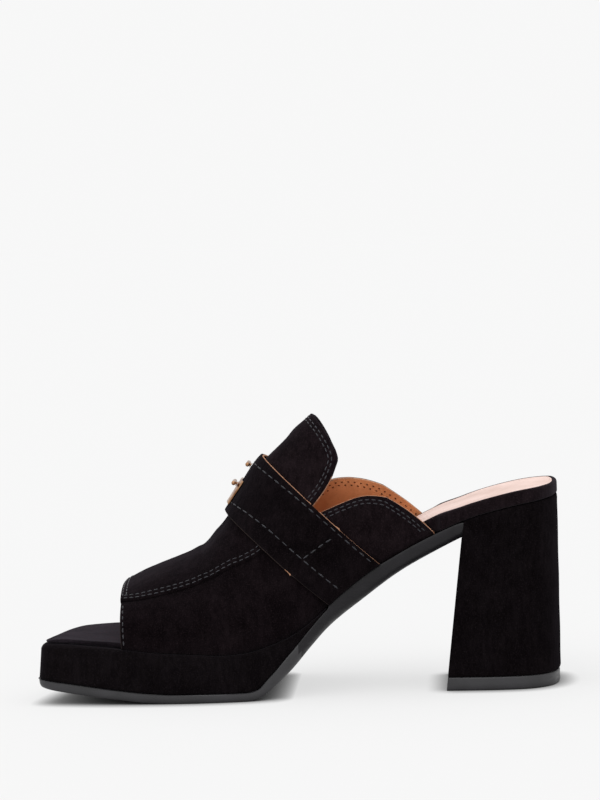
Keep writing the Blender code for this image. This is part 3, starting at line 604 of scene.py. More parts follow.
FINISHES = {
    "upper_suede": suede("upper_suede", (0.0024, 0.00150, 0.00175), (0.0070, 0.0046, 0.0054)),
    # Lighter copy of the upper suede for the quarters: painted light and sheen from behind.
    "quarter_suede": suede("quarter_suede", (0.0037, 0.00230, 0.00270), (0.0108, 0.0071, 0.0083)),
    "strap_suede": suede("strap_suede", (0.0022, 0.00150, 0.00172), (0.0058, 0.0040, 0.0046)),
    "heel_suede": suede("heel_suede", (0.0026, 0.00190, 0.00215), (0.0056, 0.0042, 0.0048), sheen=0.02),
    "platform_suede": suede("platform_suede", (0.0026, 0.00190, 0.00210), (0.0060, 0.0046, 0.0052)),
    "footbed_suede": suede("footbed_suede", (0.0036, 0.0026, 0.0034), (0.0092, 0.0070, 0.0090), sheen=0.12),
    # Lighter suede for the footbed's band round the heel: painted top light and sheen.
    "band_painted_light_suede": suede("band_painted_light_suede", (0.0050, 0.0031, 0.0037), (0.0110, 0.0074, 0.0086), sheen=0.08),
    "rubber": rubber("outsole_rubber", (0.017, 0.0165, 0.018), (0.026, 0.025, 0.028)),
    # Darker copy of the outsole rubber for the waist: painted shade of its undercut.
    "waist_painted_shade_rubber": rubber("waist_painted_shade_rubber", (0.0030, 0.0026, 0.0036), (0.0080, 0.0070, 0.0090), gloss=0.28),
    "lining": leather("lining_leather", (0.46, 0.155, 0.052), (0.74, 0.300, 0.125), 0.46),
    "sock": leather("sock_leather", (0.56, 0.388, 0.328), (0.73, 0.542, 0.486), 0.42, grain=0.8),
    "raw": raw_edge("raw_leather_edge", (0.30, 0.130, 0.066), (0.52, 0.290, 0.185)),
    "dark_edge": raw_edge("dark_raw_edge", (0.0120, 0.0070, 0.0060), (0.0360, 0.0220, 0.0180)),
    "thread": thread("dark_thread", (0.0050, 0.0050, 0.0086), (0.0105, 0.0105, 0.0180)),
    # Dark tan for the domes on the lining: painted shade of needle holes.
    "hole_shade": raw_edge("needle_hole_painted_shade", (0.085, 0.022, 0.007), (0.140, 0.042, 0.015)),
    "gold": gold("gold_tone_metal", (0.24, 0.115, 0.055), (0.42, 0.240, 0.130)),
}


def add_piece(name, slot, vertices, faces, finishes, indices=None, nodes=(), sharp=60.0):
    """A mesh piece that rides on the root body, with outward faces and smooth shading."""
    mesh = bpy.data.meshes.new(name)
    mesh.from_pydata(np.asarray(vertices, float).tolist(), [], faces)
    for finish in finishes:
        mesh.materials.append(FINISHES[finish])
    if indices is not None:
        mesh.polygons.foreach_set("material_index", indices)
    work = bmesh.new()
    work.from_mesh(mesh)
    bmesh.ops.recalc_face_normals(work, faces=work.faces)
    work.to_mesh(mesh)
    work.free()
    mesh.shade_smooth()
    mesh.set_sharp_from_angle(angle=math.radians(sharp))
    piece = bpy.data.objects.new(name, mesh)
    bpy.context.scene.collection.objects.link(piece)
    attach(piece, "root")
    if nodes:
        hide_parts(*nodes)
    return piece


# Thin shells such as the upper, the strap and the plate


def unit(vectors):
    """The vectors at length one."""
    return vectors / np.maximum(1e-12, np.linalg.norm(vectors, axis=-1, keepdims=True))


def shell(outer, inner, active, profile, rounding, edge_finish, faces_finish, proud=None):
    """Closed shell between two grids of points, with its edge rounded by a profile.

    The profile's rows are: share of the rounding outwards, share of the half wall, and which layer it belongs to.
    edge_finish(row, column, layer) and faces_finish(side) give material numbers. The grid named proud scales
    how far the profile stands out beyond the edge.
    """
    height, width = outer.shape[:2]
    centre = (outer + inner) / 2
    normal = unit(outer - inner)
    half = np.linalg.norm(outer - inner, axis=-1, keepdims=True) / 2
    cells = [(r, c) for r in range(height - 1) for c in range(width - 1) if active(r, c)]
    present = set(cells)
    outwards = np.zeros_like(outer)
    touched = np.zeros((height, width), int)
    for r, c in cells:
        middle = centre[r:r + 2, c:c + 2].mean(axis=(0, 1))
        outwards[r:r + 2, c:c + 2] += centre[r:r + 2, c:c + 2] - middle
        touched[r:r + 2, c:c + 2] += 1
    outwards -= normal * np.sum(outwards * normal, axis=-1, keepdims=True)
    outwards = unit(outwards)
    sides = (((0, 0), (0, 1), (-1, 0)), ((0, 1), (1, 1), (0, 1)), ((1, 1), (1, 0), (1, 0)), ((1, 0), (0, 0), (0, -1)))
    border = []
    for r, c in cells:
        for a, b, step in sides:
            if (r + step[0], c + step[1]) not in present:
                border.append(((r + a[0], c + a[1]), (r + b[0], c + b[1])))
    on_border = {corner for pair in border for corner in pair}
    vertices = []
    ids = {}

    def vertex(key, point):
        if key not in ids:
            ids[key] = len(vertices)
            vertices.append(point)
        return ids[key]

    def corner(cell, side):
        point = centre[cell] + normal[cell] * half[cell] * side
        if cell in on_border:
            point = point - outwards[cell] * rounding
        return vertex((cell, side), point)

    def ring(cell, k):
        away, up, _ = profile[k]
        if proud is not None:
            away = min(away, 1.0) + max(away - 1.0, 0.0) * proud[cell]
        point = centre[cell] + outwards[cell] * rounding * (away - 1) + normal[cell] * half[cell] * up
        return vertex((cell, "ring", k), point)

    faces = []
    indices = []
    for r, c in cells:
        four = ((r, c), (r, c + 1), (r + 1, c + 1), (r + 1, c))
        faces.append([corner(cell, 1) for cell in four])
        indices.append(faces_finish(1))
        faces.append([corner(cell, -1) for cell in reversed(four)])
        indices.append(faces_finish(-1))
    for a, b in border:
        columns = []
        for cell in (a, b):
            columns.append([corner(cell, 1)] + [ring(cell, k) for k in range(len(profile))] + [corner(cell, -1)])
        for k in range(len(profile) + 1):
            faces.append([columns[1][k], columns[0][k], columns[0][k + 1], columns[1][k + 1]])
            layer = profile[min(k, len(profile) - 1)][2]
            indices.append(edge_finish(a[0], a[1], layer))
    return vertices, faces, indices


# Edge of a lined piece: suede folded over the first half of the wall, raw lining a little proud of it.
LINED_EDGE = (
    (0.50, 0.93, "outside"),
    (0.88, 0.66, "outside"),
    (1.00, 0.28, "outside"),
    (0.96, 0.08, "outside"),
    (1.55, 0.02, "lining"),
    (1.70, -0.36, "lining"),
    (1.35, -0.80, "lining"),
)
PLAIN_EDGE = ((0.45, 0.92, "outside"), (0.90, 0.55, "outside"), (1.0, 0.0, "outside"), (0.90, -0.55, "outside"),
              (0.45, -0.92, "outside"))
EDGE_ROUNDING = 0.00045

PANEL_SHARES = np.concatenate([
    [0.0, 0.006, 0.018], np.linspace(0.04, 0.93, 28), [0.952, 0.968, 0.980, 0.989, 0.995, 1.0]])
APRON_HALF = np.concatenate([[0.0, 0.0035, 0.008, 0.014, 0.022, 0.034], np.linspace(0.055, 0.5, 24)])
APRON_SHARES = np.concatenate([APRON_HALF, (1 - APRON_HALF[:-1])[::-1]])
FRONT_ROWS = 62
STRAP_ROWS = 16
NOTCH_ROWS = 7
BACK_ROWS = 44
GROOVE_DEPTH = 0.00010
GROOVE_WIDTH = 0.0010
APRON_EDGE_DROP = 0.00045
APRON_EDGE_WIDTH = 0.0005
FOOT_TUCK = 0.0008
FOOT_TUCK_RISE = 0.0024
FACING_HEIGHT = 0.1050
FACING_HALF_WIDTH = 0.0400


def strip_end(strip, across):
    """Last section of a strip at a place across it, which rounds its corners."""
    if strip != "apron":
        return QUARTER_END[strip] - QUARTER_CORNER * across ** 3
    ends = []
    for side, sign in (("inner", -1), ("outer", 1)):
        begin = TONGUE_CORNER_START[side]
        beyond = np.clip((sign * (2 * across - 1) - begin) / (1 - begin), 0.0, 1.0)
        ends.append(TONGUE_CORNER[side] * (1 - np.sqrt(1 - beyond * beyond)))
    return TONGUE_TIP_SECTION - ends[0] - ends[1]


def strip_turn(strip, across, section):
    """Turn of points in a strip. Across is 0 to 1 from the sole up a panel, or across the apron."""
    if strip == "apron":
        low = seam_turn("inner_apron", section)
        return low + (seam_turn("outer_apron", section) - low) * across
    top = turn_of(EDGE[strip + "_panel"](section), section)
    turn = 1 - (top - SEAM_WIDTH / HALF_GIRTH) * across
    return -turn if strip == "inner" else turn


def upper_strips():
    """Strips of the upper from the inner sole edge over the ridge: name, and places across it."""
    return (("inner", PANEL_SHARES), ("apron", APRON_SHARES), ("outer", PANEL_SHARES[::-1]))


def upper_sections(across, strip):
    """Sections of all the rows at places across a strip."""
    straight = np.concatenate([
        np.linspace(0.0, STRAP_FRONT_SECTION, FRONT_ROWS + 1),
        np.linspace(STRAP_FRONT_SECTION, NOTCH_SECTION, STRAP_ROWS + 1)[1:],
        np.linspace(NOTCH_SECTION, STRAP_BACK_SECTION, NOTCH_ROWS + 1)[1:]])
    share = np.linspace(0.0, 1.0, BACK_ROWS + 1)[1:, None]
    behind = STRAP_BACK_SECTION + (strip_end(strip, across)[None, :] - STRAP_BACK_SECTION) * share
    return np.concatenate([np.repeat(straight[:, None], len(across), axis=1), behind])


def surface_offset(strip, across, section, turn):
    """Height of the upper's outer face over the apron's level, with the seam's groove and rolled edge."""
    per_turn = metres_per_turn(section, turn)
    if strip == "apron":
        low = (turn - seam_turn("inner_apron", section)) * per_turn
        high = (seam_turn("outer_apron", section) - turn) * per_turn
        near = np.minimum(low, high)
        return -APRON_EDGE_DROP * bump_at(near, 0.0, APRON_EDGE_WIDTH)
    gap = (1 - across) * (1 - np.abs(seam_turn(strip + "_panel", section))) * per_turn
    return -SEAM_STEP - GROOVE_DEPTH * bump_at(gap, 0.0, GROOVE_WIDTH) * (section < NOTCH_SECTION)


def build_upper():
    """Suede upper with tan lining: side panels, raised apron, tongue and quarters."""
    outer = []
    inner = []
    for strip, shares in upper_strips():
        section = upper_sections(shares, strip)
        turn = strip_turn(strip, shares[None, :], section)
        base = upper_base(section, turn)
        normal = upper_normal(section, turn)
        free = ease(np.abs(turn), 1.0, 0.93) * ease(section, 0.0, 0.03)
        lift = surface_offset(strip, shares[None, :], section, turn)
        lift = lift + free * (creases(section, turn) + swell(section, turn))
        wall = APRON_WALL if strip == "apron" else WALL
        face = base + normal * lift[..., None]
        back = base + normal * (lift - wall)[..., None]
        if strip != "apron":
            foot = shares == 0.0
            for layer in (face, back):
                layer[:, foot, 2] = seat(layer[:, foot, 0]) + upright_gap(layer[:, foot, 0])
            rise = face[..., 2] - face[:, foot, 2]
            face -= (FOOT_TUCK * (1 - ease(rise, 0.0, FOOT_TUCK_RISE)))[..., None] * normal * (1.0, 1.0, 0.0)
        outer.append(face)
        inner.append(back)
    notch = FRONT_ROWS + STRAP_ROWS
    seams = (len(PANEL_SHARES) - 1, len(PANEL_SHARES) + len(APRON_SHARES) - 1)
    last_column = 2 * len(PANEL_SHARES) + len(APRON_SHARES) - 1

    def active(r, c):
        return c not in seams or r < notch

    last_row = FRONT_ROWS + STRAP_ROWS + NOTCH_ROWS + BACK_ROWS
    tongue_top = FRONT_ROWS + STRAP_ROWS + NOTCH_ROWS + int(0.72 * BACK_ROWS)

    def edge_finish(row, column, layer):
        if layer != "lining" or column in (0, last_column):
            return 0
        if row == 0:
            return 3
        on_tongue = seams[0] < column <= seams[1]
        folded = on_tongue and row > tongue_top
        return 0 if folded else 1

    def faces_finish(side):
        return 0 if side > 0 else 2

    outer = np.concatenate(outer, axis=1)
    inner = np.concatenate(inner, axis=1)
    mesh = shell(outer, inner, active, LINED_EDGE, EDGE_ROUNDING, edge_finish, faces_finish)
    vertices = np.array(mesh[0])
    indices = list(mesh[2])
    for i, face in enumerate(mesh[1]):
        if indices[i] == 2 and vertices[face[0], 2] > FACING_HEIGHT and abs(vertices[face[0], 1]) < FACING_HALF_WIDTH:
            indices[i] = 0
    # Outer suede faces behind the strap's middle take the lighter quarter suede: painted light.
    turn = sample(-1.0, 0.0, 41)
    middle = upper_base(np.full(41, (STRAP_FRONT_SECTION + STRAP_BACK_SECTION) / 2), turn)
    for i, face in enumerate(mesh[1]):
        x, y, z = vertices[face[0]]
        if indices[i] == 0 and x > np.interp(z, middle[:, 2], middle[:, 0]):
            indices[i] = 4
    add_piece("upper_skin", "upper_suede", *mesh[:2],
              ("upper_suede", "raw", "lining", "dark_edge", "quarter_suede"), indices, ("upper",), 50)


CROSS_TURNS = (0.79, 0.825)
JOG_TURN = 0.80
JOG_SIZE = 1.6
STRAP_STEP = 0.0005
FRAYED_TURNS = ((0.775, 0.012), (0.803, 0.006))


def strap_offset(strip, across):
    """Offset of the strap's inner face: down on the panels, lifted over the apron and tented at the step."""
    over_apron = GAP + STRAP_STAND_OFF
    if strip == "apron":
        return np.full_like(across, over_apron)
    on_panel = GAP - SEAM_STEP
    return on_panel + (over_apron - on_panel) * ease(across, 1 - STRAP_TENT, 1.0)


def strap_height(section, turn):
    """Offset of the strap's outer face over its plain level: thinner beyond the cross seam, softly padded."""
    share = (section - STRAP_FRONT_SECTION) / (STRAP_BACK_SECTION - STRAP_FRONT_SECTION)
    thin = -STRAP_STEP * ease(np.abs(turn), CROSS_TURNS[1] + 0.005, CROSS_TURNS[1] + 0.04)
    rows = bump_at(share, front_row(turn), 0.03) + bump_at(share, back_row(turn), 0.03)
    pad = 0.00022 * np.sin(np.clip(share, 0, 1) * math.pi)
    return thin + pad - 0.00016 * rows + 0.6 * swell(section * 1.7, turn * 1.3)



def front_row(turn):
    """Share of the strap's width where the front row of stitches runs."""
    return 0.160 + 0.102 * ease(np.abs(turn), 0.0, 0.62)


def back_row(turn):
    """Share of the strap's width where the back row of stitches runs."""
    return 0.825 + 0.105 * ease(np.abs(turn), 0.0, 0.82)


def build_strap():
    """Strap over the instep with tan raw edges."""
    shares = np.concatenate([[0.0, 0.012, 0.03], np.linspace(0.055, 0.945, 26), [0.97, 0.988, 1.0]])
    section = STRAP_FRONT_SECTION + (STRAP_BACK_SECTION - STRAP_FRONT_SECTION) * shares
    outer = []
    inner = []
    turns = []
    for strip, across in upper_strips():
        sections = np.repeat(section[:, None], len(across), axis=1)
        turn = strip_turn(strip, across[None, :], sections)
        base = upper_base(sections, turn)
        normal = upper_normal(sections, turn)
        low = np.broadcast_to(strap_offset(strip, across), sections.shape)
        high = low + STRAP_THICKNESS + strap_height(sections, turn) * ease(np.abs(turn), 1.0, 0.97)
        face = base + normal * high[..., None]
        back = base + normal * low[..., None]
        if strip != "apron":
            foot = across == 0.0
            for layer in (face, back):
                layer[:, foot, 2] = seat(layer[:, foot, 0]) + upright_gap(layer[:, foot, 0])
        outer.append(face)
        inner.append(back)
        turns.append(turn)
    outer = np.concatenate(outer, axis=1)
    inner = np.concatenate(inner, axis=1)
    turns = np.concatenate(turns, axis=1)
    columns = outer.shape[1]

    rows = outer.shape[0]
    beyond = np.abs(turns)
    proud = 1.0 + JOG_SIZE * bump_at(beyond, JOG_TURN, 0.010) - 0.75 * ease(beyond, JOG_TURN, JOG_TURN + 0.02)

    def edge_finish(row, column, layer):
        if layer != "lining" or not 0 < column < columns - 2:
            return 0
        at = turns[row, column]
        frayed = any(abs(abs(at) - middle) < half for middle, half in FRAYED_TURNS)
        return 1 if row > rows // 2 or frayed else 3

    mesh = shell(outer, inner, lambda r, c: True, LINED_EDGE, EDGE_ROUNDING, edge_finish,
                 lambda side: 0 if side > 0 else 2, proud)
    add_piece("strap_skin", "strap_suede", *mesh[:2], ("strap_suede", "raw", "lining", "dark_edge"), mesh[2],
              ("strap",), 50)


# Stitches


def on_surface(section, turn, offset):
    """Points and outward directions at a height over the apron's level."""
    normal = upper_normal(section, turn)
    return upper_base(section, turn) + normal * np.asarray(offset)[..., None], normal


def moved_in(section, turn, distance):
    """Places moved square to their own path, to its right as seen from outside for a positive distance."""
    step = 0.004
    by_section = (upper_base(section + step, turn) - upper_base(section - step, turn)) / (2 * step)
    by_turn = (upper_base(section, turn + step) - upper_base(section, turn - step)) / (2 * step)
    normal = upper_normal(section, turn)
    points = upper_base(section, turn)
    tangent = unit(np.gradient(points, axis=0))
    aside = np.cross(tangent, normal) * distance
    a = np.sum(by_section * by_section, axis=-1)
    b = np.sum(by_section * by_turn, axis=-1)
    d = np.sum(by_turn * by_turn, axis=-1)
    p = np.sum(by_section * aside, axis=-1)
    q = np.sum(by_turn * aside, axis=-1)
    determinant = a * d - b * b
    return section + (d * p - b * q) / determinant, turn + (a * q - b * p) / determinant


def stitch_template(around=6, rings=(-0.95, -0.7, -0.25, 0.25, 0.7, 0.95)):
    """Vertices as along, across and up of a plump stitch one half length long, and its faces."""
    vertices = [(-1.0, 0.0, -0.3)]
    for along in rings:
        size = (1 - along ** 4) ** 0.5
        rise = 0.55 * (1 - along * along) - 0.3
        for k in range(around):
            angle = 2 * math.pi * k / around
            vertices.append((along, size * math.cos(angle), rise + size * 0.8 * math.sin(angle)))
    vertices.append((1.0, 0.0, -0.3))
    last = len(vertices) - 1
    faces = [(0, 1 + (k + 1) % around, 1 + k) for k in range(around)]
    for ring in range(len(rings) - 1):
        low = 1 + ring * around
        for k in range(around):
            following = (k + 1) % around
            faces.append((low + k, low + following, low + around + following, low + around + k))
    base = last - around
    faces += [(last, base + k, base + (k + 1) % around) for k in range(around)]
    return np.array(vertices), faces


def stitches(paths, pitch, length, radius):
    """Vertices and faces of stitches along paths. A path is points and outward directions."""
    template, template_faces = stitch_template()
    vertices = []
    faces = []
    for points, normals in paths:
        steps = np.linalg.norm(np.diff(points, axis=0), axis=1)
        reach = np.concatenate([[0.0], np.cumsum(steps)])
        count = int(reach[-1] / pitch)
        for k in range(count):
            ends = []
            for s in (k * pitch + (pitch - length) / 2, k * pitch + (pitch + length) / 2):
                ends.append(np.array([np.interp(s, reach, points[:, axis]) for axis in range(3)]))
            middle = (k + 0.5) * pitch
            up = unit(np.array([np.interp(middle, reach, normals[:, axis]) for axis in range(3)]))
            along = ends[1] - ends[0]
            half = np.linalg.norm(along) / 2
            along = along / (2 * half)
            across = np.cross(up, along)
            wander = 0.12 * radius * math.sin(k * 2.3 + len(vertices))
            centre = (ends[0] + ends[1]) / 2 + across * wander
            local = template * (half, radius, radius)
            base = sum(len(v) for v in vertices)
            vertices.append(centre + local @ np.array([along, across, up]))
            faces += [tuple(base + i for i in face) for face in template_faces]
    return np.concatenate(vertices), faces


def sample(start, end, count=160):
    """Evenly spread values."""
    return np.linspace(start, end, count)


def skin_offset(section, turn, strip):
    """Height of the upper's outer face away from seams."""
    level = 0.0 if strip == "apron" else -SEAM_STEP
    return level + creases(section, turn) + swell(section, turn)


SEAM_ROWS = (0.0013, 0.0034)
EDGE_ROWS = (0.0020, 0.0036)
MOUTH_ROWS = (0.0013, 0.0032)


def seam_paths():
    """Double rows on the apron along its seam, from the toe opening to under the strap."""
    paths = []
    section = sample(0.012, STRAP_FRONT_SECTION + 0.04)
    for name, sign in (("inner_apron", 1), ("outer_apron", -1)):
        for distance in SEAM_ROWS:
            edge = seam_turn(name, section)
            turn = edge + sign * distance / metres_per_turn(section, edge)
            paths.append(on_surface(section, turn, skin_offset(section, turn, "apron")))
    return paths


def mouth_paths():
    """Rows along the toe opening: one on each side panel, two on the apron."""
    paths = []
    section = np.zeros(160)
    low = seam_turn("inner_apron", 0.0)
    high = seam_turn("outer_apron", 0.0)
    spans = (("inner", -0.985, low - 0.015, MOUTH_ROWS[:1]), ("apron", low + 0.05, high - 0.05, MOUTH_ROWS),
             ("outer", high + 0.015, 0.985, MOUTH_ROWS[:1]))
    for strip, start, end, rows in spans:
        for distance in rows:
            s, t = moved_in(section, sample(start, end), distance)
            paths.append(on_surface(s, t, skin_offset(s, t, strip)))
    return paths


def tongue_border():
    """Places along the tongue's edge from under the strap round the tip to the other side."""
    share = sample(0.0, 1.0, 120)
    end = strip_end("apron", np.array([0.0, 1.0]))
    left = NOTCH_SECTION + (end[0] - NOTCH_SECTION) * share
    right = NOTCH_SECTION + (end[1] - NOTCH_SECTION) * share[::-1]
    across = sample(0.0, 1.0, 240)
    tip = strip_end("apron", across)
    section = np.concatenate([left[:-1], tip, right[1:]])
    place_across = np.concatenate([np.zeros(119), across, np.ones(119)])
    return section, strip_turn("apron", place_across, section)


def smooth_path(values, reach=9):
    """The values with their corners rounded."""
    kernel = np.hanning(2 * reach + 1)
    kernel /= kernel.sum()
    padded = np.concatenate([np.full(reach, values[0]), values, np.full(reach, values[-1])])
    return np.convolve(padded, kernel, mode="valid")


def tongue_paths():
    """Double rows inside the tongue's edge."""
    section, turn = tongue_border()
    paths = []
    for distance in EDGE_ROWS:
        s, t = moved_in(section, turn, -distance)
        s = smooth_path(s)
        t = smooth_path(t)
        kept = s > STRAP_BACK_SECTION - 0.02
        paths.append(on_surface(s[kept], t[kept], skin_offset(s[kept], t[kept], "apron")))
    return paths


def quarter_paths(side, inward, rows=EDGE_ROWS):
    """Double rows below the top edge of a quarter, outside, or inside through the lining."""
    end = QUARTER_END[side]
    top = sample(NOTCH_SECTION + 0.01, end - QUARTER_CORNER, 200)
    across = sample(1.0, 0.0, 80)[1:]
    behind = end - QUARTER_CORNER * across ** 3
    section = np.concatenate([top, behind])
    turn = np.concatenate([seam_turn(side + "_panel", top), strip_turn(side, across, behind)])
    sign = -1 if side == "outer" else 1
    paths = []
    for distance in rows:
        s, t = moved_in(section, turn, sign * distance)
        s = smooth_path(s)
        t = smooth_path(t)
        offset = skin_offset(s, t, side)
        points, normals = on_surface(s, t, offset - (WALL if inward else 0.0))
        above = points[:, 2] > seat(points[:, 0]) + 2 * MM
        paths.append((points[above], normals[above] * (-1 if inward else 1)))
    return paths


def strap_surface(section, turn):
    """Points and directions on the strap's outer face."""
    over_apron = GAP + STRAP_STAND_OFF
    on_panel = GAP - SEAM_STEP
    low = np.abs(seam_turn("inner_panel", section))
    high = np.abs(seam_turn("outer_panel", section))
    seam = np.where(turn < 0, low, high)
    across = (1 - np.abs(turn)) / (1 - seam)
    offset = on_panel + (over_apron - on_panel) * ease(across, 1 - STRAP_TENT, 1.0)
    return on_surface(section, turn, offset + STRAP_THICKNESS + strap_height(section, turn))


def strap_paths():
    """One row inside each edge of the strap, all the way across."""
    paths = []
    turn = sample(-0.985, 0.985, 400)
    for row in (front_row, back_row):
        section = STRAP_FRONT_SECTION + (STRAP_BACK_SECTION - STRAP_FRONT_SECTION) * row(turn)
        paths.append(strap_surface(section, turn))
    return paths


def cross_paths():
    """A row across the strap near each of its ends."""
    paths = []
    width = STRAP_BACK_SECTION - STRAP_FRONT_SECTION
    first = STRAP_FRONT_SECTION + width * float(front_row(CROSS_TURNS[0]))
    last = STRAP_FRONT_SECTION + width * float(back_row(CROSS_TURNS[1]))
    section = sample(first, last)
    for sign in (-1, 1):
        paths.append(strap_surface(section, sign * sample(*CROSS_TURNS)))
    return paths


def build_stitches():
    """All the seams that show, one piece for each."""
    rows = (
        ("apron_seam_stitches", "upper_suede", seam_paths() + mouth_paths(), 3.0, 2.1, 0.26),
        ("tongue_edge_stitches", "upper_suede", tongue_paths(), 3.0, 2.1, 0.25),
        ("quarter_edge_stitches", "upper_suede",
         quarter_paths("inner", False) + quarter_paths("outer", False), 3.0, 2.1, 0.25),
        ("strap_stitches", "strap_suede", strap_paths(), 4.4, 3.3, 0.28),
        ("strap_cross_stitches", "strap_suede", cross_paths(), 4.2, 3.0, 0.28),
    )
    for name, slot, paths, pitch, length, radius in rows:
        vertices, faces = stitches(paths, pitch * MM, length * MM, radius * MM)
        add_piece(name, slot, vertices, faces, ("thread",), sharp=180)
    # Dark domes inside the quarters' lining: painted shade of needle holes, with no holes in the mesh.
    vertices, faces = stitches(quarter_paths("inner", True) + quarter_paths("outer", True), 3.0 * MM, 1.0 * MM, 0.34 * MM)
    add_piece("lining_needle_hole_shade", "upper_suede", vertices, faces, ("hole_shade",), sharp=180)


# Sole, footbed, sock and heel


def stations(start, end, longest=0.0016, extra=()):
    """X places from start to end, close together only at the shoe's own round ends."""
    first = 0.00003
    steps = []
    setback = first
    step = first
    while setback < SHOE_LENGTH / 2:
        steps.append(setback)
        step = min(longest, step * 1.32 + first)
        setback += step
    places = [place(0.0) + s for s in steps] + [place(1.0) - s for s in reversed(steps)]
    fixed = [x for x in (start, end, *extra) if place(0.0) + first < x < place(1.0) - first]
    kept = [x for x in places if start < x < end and all(abs(x - f) > 0.3 * longest for f in fixed)]
    return np.array(sorted(kept + fixed))


def sides_of(xs, inset, height):
    """Inner and outer points of one ring round the outline."""
    pair = []
    for side in ("inner", "outer"):
        px, py = OUTLINE_CURVE.edge(side, xs, inset(xs, side))
        pair.append(np.stack([px, py, height(px)], axis=1))
    return pair


def stack(rings, cells, crown=None, floor=None):
    """Vertices and faces of stacked rings with gridded ends, top and bottom.

    A ring is a pair of inner and outer points. The crown and the floor give the height to add
    over the top and the bottom, from x and the share of the way across.
    """
    count = len(rings[0][0])
    size = 2 * count + 2 * (cells - 1)
    shares = np.arange(1, cells) / cells
    vertices = []
    for inner, outer in rings:
        back = inner[-1] + (outer[-1] - inner[-1]) * shares[:, None]
        front = inner[0] + (outer[0] - inner[0]) * shares[::-1, None]
        vertices.append(np.concatenate([inner, back, outer[::-1], front]))
    faces = []
    for level in range(len(rings) - 1):
        low = level * size
        for i in range(size):
            j = (i + 1) % size
            faces.append((low + i, low + j, low + size + j, low + size + i))
    total = size * len(rings)
    for base, (inner, outer), add in ((0, rings[0], floor), (total - size, rings[-1], crown)):
        grid = inner[1:-1, None] + (outer[1:-1, None] - inner[1:-1, None]) * shares[None, :, None]
        if add:
            grid[..., 2] += add(grid[..., 0], np.broadcast_to(shares, grid.shape[:2]))
        vertices.append(grid.reshape(-1, 3))

        def index(i, k, base=base, start=total):
            if k == 0:
                return base + i
            if k == cells:
                return base + 2 * count + cells - 2 - i
            if i == 0:
                return base + 2 * count + 2 * (cells - 1) - k
            if i == count - 1:
                return base + count + k - 1
            return start + (i - 1) * (cells - 1) + k - 1

        for i in range(count - 1):
            for k in range(cells):
                faces.append((index(i, k), index(i, k + 1), index(i + 1, k + 1), index(i + 1, k)))
        total += (count - 2) * (cells - 1)
    return np.concatenate(vertices), faces


def level(value):
    """An inset that is the same all round."""
    return lambda x, side: np.full_like(x, value)


# Edge of the outsole. Columns: share of its thickness, share of the undercut.
OUTSOLE_EDGE = (
    (0.00, 1.10), (0.03, 0.86), (0.08, 0.66), (0.14, 0.50), (0.22, 0.36), (0.32, 0.22), (0.43, 0.12),
    (0.55, 0.05), (0.70, 0.00), (0.88, 0.00), (0.95, 0.02),
)


def build_outsole():
    """Rubber outsole: thin under the forefoot, thick and undercut in the waist."""
    xs = stations(place(0.0), BREAST_TOP - OUTSOLE_END_SETBACK, extra=(PLATFORM_END, PLATFORM_END + 0.8 * MM))

    def undercut(share):
        def inset(x, side):
            waist = ease(x, place(UNDERCUT_START_SHARE), place(UNDERCUT_END_SHARE))
            trim = 0.0007 * (1 - ease(x, place(0.10), place(0.40)))
            return trim + share * (OUTSOLE_EDGE_INSET + (OUTSOLE_WAIST_UNDERCUT - OUTSOLE_EDGE_INSET) * waist)
        return inset

    def between(share):
        return lambda x: underside(x) + (outsole_top(x) - underside(x)) * share

    rings = [sides_of(xs, undercut(share), between(height)) for height, share in OUTSOLE_EDGE]
    rings.append(sides_of(xs, level(GAP), outsole_top))
    for pair in rings:
        for points in pair:
            points[-1, 0] = breast(points[-1, 2]) + BREAST_CORNER
    vertices, faces = stack(rings, 14)
    # Faces behind the middle of the length take the darker waist rubber: painted shade of the undercut.
    waist = place(0.50)
    indices = [1 if min(vertices[i][0] for i in face) > waist else 0 for face in faces]
    add_piece("outsole_skin", "outsole_rubber", vertices, faces, ("rubber", "waist_painted_shade_rubber"), indices, ("outsole",), 48)


def rim_radius(x):
    """Radius of the platform's upper rim: round at the open toe, slight under the upper."""
    share = ease(x, TOE_OPENING - PLATFORM_RIM_RUN, TOE_OPENING)
    return PLATFORM_TOE_RADIUS + (PLATFORM_RIM_RADIUS - PLATFORM_TOE_RADIUS) * share


def side_wave(x, side):
    """Faint unevenness of suede glued over a block."""
    phase = 0.7 if side == "inner" else 2.9
    return 0.00009 * np.sin(x * 190 + phase) + 0.00006 * np.sin(x * 410 + 2 * phase)


def build_platform():
    """Suede covered platform, from the toe to where it runs out in the arch."""
    xs = stations(place(0.0), PLATFORM_END - GAP, extra=(TOE_OPENING,))

    def foot(x):
        return outsole_top(x) + upright_gap(x)

    def draft(x):
        return PLATFORM_TOE_DRAFT * (1 - ease(x, place(0.0), TOE_OPENING))

    def side_ring(share):
        """A ring up the straight side, tucked in a little at its foot."""
        tuck = 0.35 * MM * (1 - min(1.0, share / 0.06)) ** 2
        return (lambda x, side: PLATFORM_INSET + tuck + share * draft(x) + side_wave(x, side) * min(1, 8 * share),
                lambda x: foot(x) + np.maximum(0.0005, seat(x) - rim_radius(x) - foot(x)) * share)

    def rim_ring(angle):
        return (lambda x, side: PLATFORM_INSET + draft(x) + rim_radius(x) * (1 - math.cos(angle)),
                lambda x: np.maximum(foot(x) + 0.0005, seat(x) - rim_radius(x) * (1 - math.sin(angle))))

    rings = [sides_of(xs, *side_ring(share)) for share in (0.0, 0.02, 0.06, 0.2, 0.4, 0.6, 0.8, 1.0)]
    rings += [sides_of(xs, *rim_ring(math.radians(angle))) for angle in (15, 30, 45, 60, 75, 90)]
    vertices, faces = stack(rings, 14)
    add_piece("platform_cover", "platform_suede", vertices, faces, ("platform_suede",), nodes=("platform",), sharp=60)


